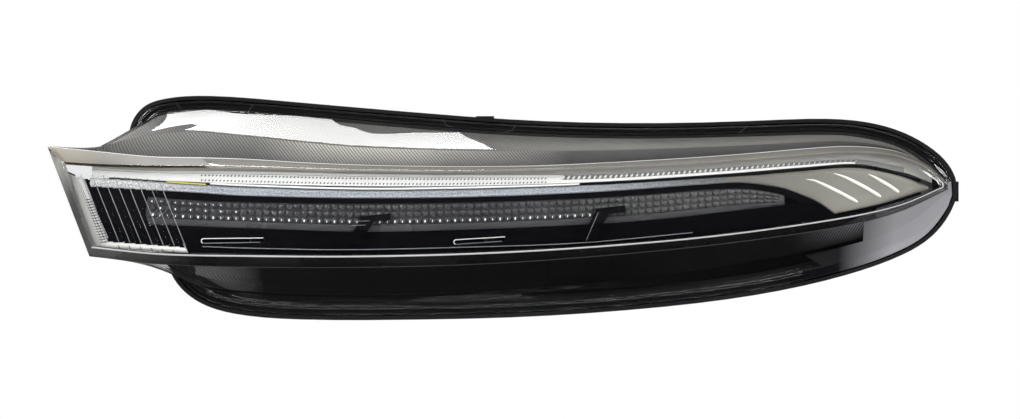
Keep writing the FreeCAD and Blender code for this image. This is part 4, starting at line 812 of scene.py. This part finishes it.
def shelf_section(x):
    """Thin satin strip between the guide and the upper edge of the face, running out to the tip."""
    low = height(GUIDE_TOP, x) + SHELF_GAP if x < GUIDE_ENDS[1] else height(TRIM_TOP, x) + SHELF_LIFT
    top = max(height(FACE_TOP, x) + SHELF_LAP, low + SHELF_LEAST)
    corners = (top, SHELF_FRONT), (low, SHELF_FRONT), (low, SHELF_BACK), (top, SHELF_BACK)
    return [behind(x, z, depth) for z, depth in corners]


def optic_edges(x):
    """Upper and lower edge of the optic at a station."""
    return height(OPTIC_TOP, x) - OPTIC_MARGIN, height(OPTIC_LIP, x) + OPTIC_MARGIN


def optic_section(x):
    """Closed section of the optic's body at a station."""
    top, low = optic_edges(x)
    lip = low + OPTIC_LIP_SHARE * (top - low)
    rows = ((top, 0.4), (lip + 0.3, 0.4), (lip, -0.5), (lip - 0.6, -0.7), (low, -0.2), (low, 2.3), (low - 1.2, 2.3),
            (low - 1.2, 3.9), (top + 1.2, 3.9), (top + 1.2, 2.3), (top, 2.3))
    return [behind(x, z, OPTIC_FRONT + back) for z, back in rows]


def make_bar(name, section, stations, finish, materials, replaces):
    """Bar of clear plastic along its stations, its rows of faces finished by a rule of station and row."""
    sections = [section(x) for x in stations]
    finishes = [finish(x, row) for x in stations[:-1] for row in range(len(sections[0]))] + [0, 0]
    finish_piece(name, loft(sections), materials, replaces, BAR_ANGLE, finishes)


make_bar("guide_bar", guide_section, spread(*GUIDE_ENDS, 210), guide_finish, [guide_white, guide_grey],
         ["light_guide"])
shelf = loft([shelf_section(x) for x in SHELF_STATIONS])
finish_piece("guide_shelf", shelf, [shelf_grey], angle=BAR_ANGLE)
make_bar("optic_body", optic_section, spread(*OPTIC_ENDS, 160), lambda x, row: int(row in OPTIC_LIP_ROWS),
         [optic_acrylic, optic_lip], ["inner_optic"])


SIZE_INPUTS = ("Wide", "Deep", "Tall")


def bead_tree():
    """Geometry tree that sets a round bead on each point, by named sizes and the points' own size and turn."""
    tree = bpy.data.node_groups.new("pillow_rows", "GeometryNodeTree")
    tree.interface.new_socket("Geometry", in_out="INPUT", socket_type="NodeSocketGeometry")
    for label in SIZE_INPUTS:
        tree.interface.new_socket(label, in_out="INPUT", socket_type=FLOAT).default_value = MM
    tree.interface.new_socket("Finish", in_out="INPUT", socket_type="NodeSocketMaterial")
    tree.interface.new_socket("Geometry", in_out="OUTPUT", socket_type="NodeSocketGeometry")
    given = tree.nodes.new("NodeGroupInput").outputs

    def own(label):
        node = add(tree, "GeometryNodeInputNamedAttribute", {"Name": label}, data_type="FLOAT_VECTOR")
        return node.outputs["Attribute"]

    ball = add(tree, "GeometryNodeMeshUVSphere", {"Segments": 12, "Rings": 8, "Radius": 0.5})
    soft = add(tree, "GeometryNodeSetShadeSmooth", {"Geometry": ball.outputs["Mesh"], "Shade Smooth": True})
    scale = add(tree, "ShaderNodeCombineXYZ", {axis: given[label] for axis, label in zip("XYZ", SIZE_INPUTS)})
    full = add(tree, "ShaderNodeVectorMath", {0: scale.outputs["Vector"], 1: own("size")}, operation="MULTIPLY")
    turn = add(tree, "FunctionNodeEulerToRotation", {"Euler": own("turn")})
    points = add(tree, "GeometryNodeMeshToPoints", {"Mesh": given["Geometry"]})
    placed = add(tree, "GeometryNodeInstanceOnPoints", {
        "Points": points.outputs["Points"], "Instance": soft.outputs["Geometry"],
        "Rotation": turn.outputs["Rotation"], "Scale": full.outputs["Vector"]})
    real = add(tree, "GeometryNodeRealizeInstances", {"Geometry": placed.outputs["Instances"]})
    coloured = add(tree, "GeometryNodeSetMaterial", {"Geometry": real.outputs["Geometry"],
                                                     "Material": given["Finish"]})
    add(tree, "NodeGroupOutput", {"Geometry": coloured.outputs["Geometry"]})
    return tree


BEAD_TREE = bead_tree()
UNTURNED, FULL_SIZE = (0.0, 0.0, 0.0), (1.0, 1.0, 1.0)


def repeat(name, places, sizes, material):
    """Sets beads of a size on (point, turn, own size) places and keeps the result as a plain mesh piece."""
    mesh = bpy.data.meshes.new(name + "_points")
    mesh.from_pydata([tuple(v * MM for v in point) for point, _, _ in places], [], [])
    for label, index in (("turn", 1), ("size", 2)):
        layer = mesh.attributes.new(label, "FLOAT_VECTOR", "POINT")
        for k, spot in enumerate(places):
            layer.data[k].vector = spot[index]
    source = place(name + "_points", mesh)
    modifier = source.modifiers.new(name, "NODES")
    modifier.node_group = BEAD_TREE
    values = {label: size * MM for label, size in zip(SIZE_INPUTS, sizes)}
    values["Finish"] = material
    for item in BEAD_TREE.interface.items_tree:
        if item.in_out == "INPUT" and item.name in values:
            modifier[item.identifier] = values[item.name]
    graph = bpy.context.evaluated_depsgraph_get()
    done = bpy.data.meshes.new_from_object(source.evaluated_get(graph))
    source.modifiers.remove(modifier)
    bpy.data.objects.remove(source)
    bpy.data.meshes.remove(mesh)
    done.name = name
    settle(place(name, done))


PILLOW_PITCH = 3.68
PILLOW_SIZE = (3.6, 2.6, 3.4)
PILLOW_STATIONS = [-176.0 + PILLOW_PITCH * (i + 0.5) for i in range(84)]
# Painted highlights on the pillows: where their white beads stop, and their sizes and places
HIGHLIGHTS_END, TOP_HIGHLIGHTS_END, MIDDLE_HIGHLIGHTS_END = 46.0, -140.0, -128.0
SMALL_HIGHLIGHT, HIGHLIGHT_TURN, HIGHLIGHT_DROP = 0.45, 0.15, 0.2
TOP_HIGHLIGHT, MIDDLE_HIGHLIGHT = (0.6, 1.0, 0.5), (0.8, 1.0, 0.6)   # shares of the full bead
TICK_START, TICK_PITCH, TICK_TURN, TICK_ROWS = -150.0, 1.8, 0.7, (0.4, 0.8)
TOOTH_END, TOOTH_PITCH, TOOTH_TURN, TOOTH_ROW = 172.0, 2.6, 0.6, 0.34
TOOTH_FADE, TOOTH_LEAST = (110.0, 180.0), 0.25   # stations between which teeth get narrower, and how far
TOOTH_GUIDE = 4.0                                # height of the guide at which a tooth has its full height


def optic_rows(x):
    """Height of one row of pillows at a station, and the centres of the three rows."""
    top, low = optic_edges(x)
    row = (top - low) * (1 - OPTIC_LIP_SHARE) / 3
    return row, [top - (k + 0.5) * row for k in range(3)]


def pillow_places():
    """Places of the optic's pillows in three rows."""
    places = []
    for x in PILLOW_STATIONS:
        row, levels = optic_rows(x)
        slope = math.atan(height(OPTIC_TOP, x + 1) - height(OPTIC_TOP, x))
        size = (1.0, 1.0, row / PILLOW_SIZE[2])
        places += [(behind(x, z, PILLOW_DEPTH), (0.0, -slope, 0.0), size) for z in levels]
    return places


def highlight_places():
    """White beads of painted highlight on the pillows: in the lowest row, every second one small, and a few more at
    the square end.
    """
    places = []
    for i, x in enumerate(PILLOW_STATIONS):
        top, middle, low = optic_rows(x)[1]
        if x < HIGHLIGHTS_END:
            wide = SMALL_HIGHLIGHT if i % 2 else 1.0
            size = (wide, 1.0, 0.75 + 0.25 * wide)
            places.append((behind(x, low - HIGHLIGHT_DROP, HIGHLIGHT_DEPTH), (0.0, HIGHLIGHT_TURN, 0.0), size))
        if x < TOP_HIGHLIGHTS_END:
            places.append((behind(x, top, HIGHLIGHT_DEPTH), UNTURNED, TOP_HIGHLIGHT))
        if x < MIDDLE_HIGHLIGHTS_END and i % 2:
            places.append((behind(x, middle, HIGHLIGHT_DEPTH), UNTURNED, MIDDLE_HIGHLIGHT))
    return places


def tick_places():
    """Shaded prism feet in the inboard part of the guide: two rows of slanted marks."""
    places = []
    for x in steps(TICK_START, GUIDE_GAP[0], TICK_PITCH):
        top, low = height(GUIDE_TOP, x), height(GUIDE_BOTTOM, x)
        places += [(behind(x, top - share * (top - low), TICK_DEPTH), (0.0, TICK_TURN, 0.0), FULL_SIZE)
                   for share in TICK_ROWS]
    return places


def tooth_places():
    """Bright teeth in the outboard part of the guide, narrower towards its end."""
    places = []
    for x in steps(GUIDE_GAP[1], TOOTH_END, TOOTH_PITCH):
        top, low = height(GUIDE_TOP, x), height(GUIDE_BOTTOM, x)
        tall = top - low
        wide = min(1.0, max(TOOTH_LEAST, (TOOTH_FADE[1] - x) / (TOOTH_FADE[1] - TOOTH_FADE[0])))
        size = (wide, 1.0, tall / TOOTH_GUIDE)
        places.append((behind(x, top - TOOTH_ROW * tall, TOOTH_DEPTH), (0.0, TOOTH_TURN, 0.0), size))
    return places


repeat("optic_pillows", pillow_places(), PILLOW_SIZE, optic_acrylic)
repeat("optic_highlights", highlight_places(), (0.8, 0.5, 1.35), highlight_white)
repeat("guide_ticks", tick_places(), (0.6, 0.5, 1.1), guide_shade)
repeat("guide_teeth", tooth_places(), (1.1, 1.0, 2.3), guide_white)


# Thin lines and marks

BEZEL_SLOTS = [((-149.5, -15.2), (-120.5, -14.9)), ((-26.5, -15.8), (-2.5, -14.4))]   # middle lines
SLOT_TALL, SLOT_HIGHLIGHT, SLOT_LINE = 1.1, 0.24, 0.2
HOOKS = [[(43.3, -1.4), (37.3, -15.0)], [(-76.5, -5.7), (-68.6, -5.5)], [(-77.5, -7.7), (-70.6, -7.5)]]
HOOK_LINE = 0.1
FOLD = [(-150.0, -17.6), (-131.4, -18.3), (-82.9, -19.2), (-24.5, -18.1), (34.4, -16.0), (92.0, -10.8)]
FOLD_LINE, FOLD_DROP = 0.24, 0.3
FLANGE_MARKS = [[(-167.0, 53.2), (-164.6, 50.6)], [(-128.4, 52.4), (-131.0, 48.8)],
                [(-33.5, 44.9), (-31.5, 41.9), (-29.0, 41.2)], [(3.0, 42.4), (1.0, 39.4), (-3.5, 38.6)],
                [(119.0, 41.9), (114.4, 38.2)]]
THIN_MARK = 0.16
FLUTE_PITCH, FLUTE_LEAN, FLUTE_START, FLUTES_END = 5.2, 0.406, (-208.0, 17.4), -157.0
FLUTE_TOP, FLUTE_FOOT = (17.0, 0.35), (-15.2, 0.38)   # height at the first flute and fall to the next
SIDE_MARKS, FOOT_MARKS = ((-208.7, 17.0), (-197.1, -16.6)), ((-190.0, -18.2), (-163.5, -20.7))
SIDE_TURN, FOOT_TURN, FOOT_SIZE = -0.12, 1.18, (0.7, 1.0, 0.9)
WING_RIBS = [((146.0, 14.9), (152.0, 13.9), (172.6, 3.8)), ((160.0, 18.0), (168.0, 15.3), (184.4, 6.4)),
             ((177.5, 17.6), (183.5, 14.8), (193.6, 8.6))]
RIB_THIN, RIB_SWELL, RIB_RISE, RIB_SUNK, RIB_BACK = 0.15, 0.75, 1.25, 0.3, 1.0
RIB_FULL, RIB_TAPER = 1.6, (0.93, 9.0)   # how fast a rib swells, where it tapers again and how fast


def line_at(depth, points, radius):
    """Thin round line through (x, z) points at a depth behind the face."""
    return tube([behind(x, z, depth) for x, z in points], radius)


def slot_highlight(a, b):
    """Painted highlight along the upper edge of a slot and its round left end, on the front of the bezel."""
    turns = [math.pi * (1.4 - 0.9 * share) for share in spread(0.0, 1.0, 9)]
    points = [(a[0] + SLOT_TALL * math.cos(turn), a[1] + SLOT_TALL * math.sin(turn)) for turn in turns]
    points += [(x, z + SLOT_TALL) for x, z in (part_way(a, b, share) for share in spread(0.1, 1.0, 10))]
    return line_at(BEZEL_LINE_DEPTH, points, SLOT_HIGHLIGHT)


def slot_line(a, b):
    """Painted highlight on the lower edge of a slot."""
    return line_at(BEZEL_LINE_DEPTH, [(a[0], a[1] - SLOT_TALL), (b[0] - 1.5, b[1] - 1.0)], SLOT_LINE)


def trim_line(name, start, end, count, lift, radius, material):
    """Thin line of painted highlight along the upper edge of the strip."""
    points = [(x, height(TRIM_TOP, x) + lift) for x in spread(start, end, count)]
    finish_piece(name, line_at(TRIM_LINE_DEPTH, points, radius), [material])


def flute_lines():
    """Painted highlights on the edges between the flutes of the square end's clear plate."""
    lines = []
    for i in range(10):
        ends = [(FLUTE_START[0] + FLUTE_PITCH * i + FLUTE_LEAN * (FLUTE_START[1] - z), z)
                for z in (start - fall * i for start, fall in (FLUTE_TOP, FLUTE_FOOT))]
        if ends[1][0] < FLUTES_END:
            lines.append(line_at(FLUTE_LINE_DEPTH, ends, THIN_MARK))
    return join_meshes(lines)


def ladder_places():
    """Fine cross bars on the side of the square end's frame, and slanted ones on its foot."""
    places = [(behind(*part_way(*SIDE_MARKS, share), SIDE_MARK_DEPTH), (0.0, SIDE_TURN, 0.0), FULL_SIZE)
              for share in spread(0.36, 0.97, 17)]
    places += [(behind(*part_way(*FOOT_MARKS, share), FOOT_MARK_DEPTH), (0.0, FOOT_TURN, 0.0), FOOT_SIZE)
               for share in spread(0.0, 1.0, 6)]
    return places


def wing_rib(start, bend, end):
    """A raised rib on the wing: a tapered half-round bar along a bent line."""
    (x0, z0), (x1, z1) = part_way(start, bend, 0.5), part_way(bend, end, 0.5)
    points = resample([start, (x0, z0 + 0.2), bend, (x1, z1 + 0.3), end], 26)
    sections = []
    for i, (x, z) in enumerate(points):
        a, b = points[max(i - 1, 0)], points[min(i + 1, len(points) - 1)]
        run = Vector((b[0] - a[0], b[1] - a[1])).normalized()
        share = i / (len(points) - 1)
        swell = math.sin(math.pi * min(1.0, share * RIB_FULL + 0.05) / 2)
        wide = RIB_THIN + RIB_SWELL * swell * (1.0 - max(0.0, share - RIB_TAPER[0]) * RIB_TAPER[1])
        section = []
        for turn in spread(0.0, math.pi, 9):
            side = math.cos(turn) * wide
            rise = RIB_RISE * math.sin(turn) * wide
            section.append(behind(x - run.y * side, z + run.x * side, TRIM_FRONT + RIB_SUNK - rise))
        for side in (-wide, wide):
            section.append((x - run.y * side, sweep(x) + TRIM_FRONT + RIB_BACK, z + run.x * side))
        sections.append(section)
    return loft(sections)


finish_piece("slot_highlights", join_meshes([slot_highlight(*slot) for slot in BEZEL_SLOTS]), [guide_white])
# Painted highlights on the lower edges of the slots, on the hooks' edges and along the bezel's fold
fold = [(x, height(FOLD, x) - FOLD_DROP) for x in spread(-150.0, 90.0, 80)]
finish_piece("bezel_highlights", join_meshes(
    [slot_line(*slot) for slot in BEZEL_SLOTS] + [line_at(HOOK_LINE_DEPTH, hook, HOOK_LINE) for hook in HOOKS]
    + [line_at(FOLD_LINE_DEPTH, fold, FOLD_LINE)]), [highlight_grey])
# Yellow painted reflection along the strip's upper edge
trim_line("amber_reflection_line", -167.0, -148.0, 8, 0.2, 0.35, amber_glint)
# White painted highlight along the strip's upper edge
trim_line("trim_edge_highlight", -146.0, 34.0, 60, 0.75, 0.5, guide_white)
finish_piece("flange_marks", join_meshes([tube([(x, RIM_Y - 0.05, z) for x, z in mark], THIN_MARK)
                                          for mark in FLANGE_MARKS]), [edge_grey])
finish_piece("flute_highlights", flute_lines(), [highlight_grey])
repeat("frame_ladder", ladder_places(), (4.4, 0.5, 0.45), guide_shade)
finish_piece("wing_ribs", join_meshes([wing_rib(*rib) for rib in WING_RIBS]), [rib_highlight])


# Stage, light and camera, in metres

FLOOR_REACH, FLOOR_LEVEL = 3.0, -0.75
BACKDROP_WIDE, BACKDROP_TALL, BACKDROP_PLACE = 0.95, 0.55, 2.2
CAMERA_DISTANCE, VIEW_WIDTH, SENSOR_WIDTH = 1.5, 0.51, 36.0
DIM_SKY = (0.045, 0.046, 0.05)


def stage_plane(name, corners, grey, glow, rays, one_sided=False):
    """A grey stage surface that glows evenly for the kinds of ray that are named."""
    mesh = bpy.data.meshes.new(name)
    mesh.from_pydata(corners, [], [(0, 1, 2, 3)])
    plane = place(name, mesh)
    material, tree, shader = new_material(name + "_paint")
    feed(tree, shader, {"Base Color": rgba(grey), "Roughness": 0.8})
    lit = add(tree, "ShaderNodeEmission", {"Color": rgba(glow), "Strength": 1.0})
    path = add(tree, "ShaderNodeLightPath").outputs
    share = path[rays[0]]
    for ray in rays[1:]:
        share = calculate(tree, "MAXIMUM", share, path[ray])
    surface = choose(tree, share, shader.outputs["BSDF"], lit.outputs["Emission"])
    if one_sided:
        back = add(tree, "ShaderNodeNewGeometry").outputs["Backfacing"]
        surface = choose(tree, back, surface, add(tree, "ShaderNodeBsdfTransparent").outputs["BSDF"])
    feed(tree, tree.nodes["Material Output"], {"Surface": surface})
    mesh.materials.append(material)


AROUND = ((-1, -1), (1, -1), (1, 1), (-1, 1))
stage_plane("floor", [(a * FLOOR_REACH, b * FLOOR_REACH, FLOOR_LEVEL) for a, b in AROUND], 0.016, 0.86,
            ["Is Camera Ray"])
stage_plane("backdrop", [(a * BACKDROP_WIDE, BACKDROP_PLACE, b * BACKDROP_TALL) for a, b in AROUND], 0.5, 1.0,
            ["Is Camera Ray", "Is Transmission Ray"], one_sided=True)

world = bpy.data.worlds.new("studio")
world.use_nodes = True
bpy.context.scene.world = world
sky = world.node_tree
dim = feed(sky, sky.nodes["Background"], {"Color": rgba(DIM_SKY)})
white = add(sky, "ShaderNodeBackground", {"Color": rgba(1.0), "Strength": 1.0})
seen = add(sky, "ShaderNodeLightPath").outputs["Is Camera Ray"]
feed(sky, sky.nodes["World Output"], {
    "Surface": choose(sky, seen, dim.outputs["Background"], white.outputs["Background"])})


def softbox(name, spot, aim, wide, tall, radiance):
    """A soft rectangular light of a plain brightness."""
    light = bpy.data.lights.new(name, "AREA")
    light.shape = "RECTANGLE"
    light.size, light.size_y = wide, tall
    light.energy = radiance * math.pi * wide * tall
    lamp = place(name, light)
    lamp.location = spot
    lamp.rotation_euler = (Vector(aim) - Vector(spot)).to_track_quat("-Z", "Y").to_euler()
    return lamp


softbox("top_box", (-0.18, 0.1, 0.75), (-0.18, 0.1, 0.0), 0.38, 0.34, 13.0)
softbox("left_box", (-1.0, -1.0, 0.7), (0.0, -0.08, 0.0), 0.8, 0.8, 9.5)
softbox("right_box", (1.3, -0.75, 0.45), (0.05, -0.08, 0.0), 0.7, 0.7, 9.0)
softbox("low_strip", (0.0, -0.46, -0.55), (0.0, -0.09, 0.0), 0.9, 0.16, 5.0)
back_box = softbox("back_box", (0.7, 1.2, 0.3), (0.0, -0.02, 0.0), 0.8, 0.8, 5.0)
back_box.visible_camera = False
back_box.visible_transmission = False

camera = place("camera", bpy.data.cameras.new("camera"))
camera.location = (0.0, RIM_Y * MM - CAMERA_DISTANCE, 0.0)
camera.rotation_euler = (math.pi / 2, 0.0, 0.0)
camera.data.sensor_width = SENSOR_WIDTH
camera.data.lens = SENSOR_WIDTH * CAMERA_DISTANCE / VIEW_WIDTH
camera.data.clip_end = 50.0
bpy.context.scene.camera = camera
bpy.context.scene.view_settings.view_transform = "Standard"
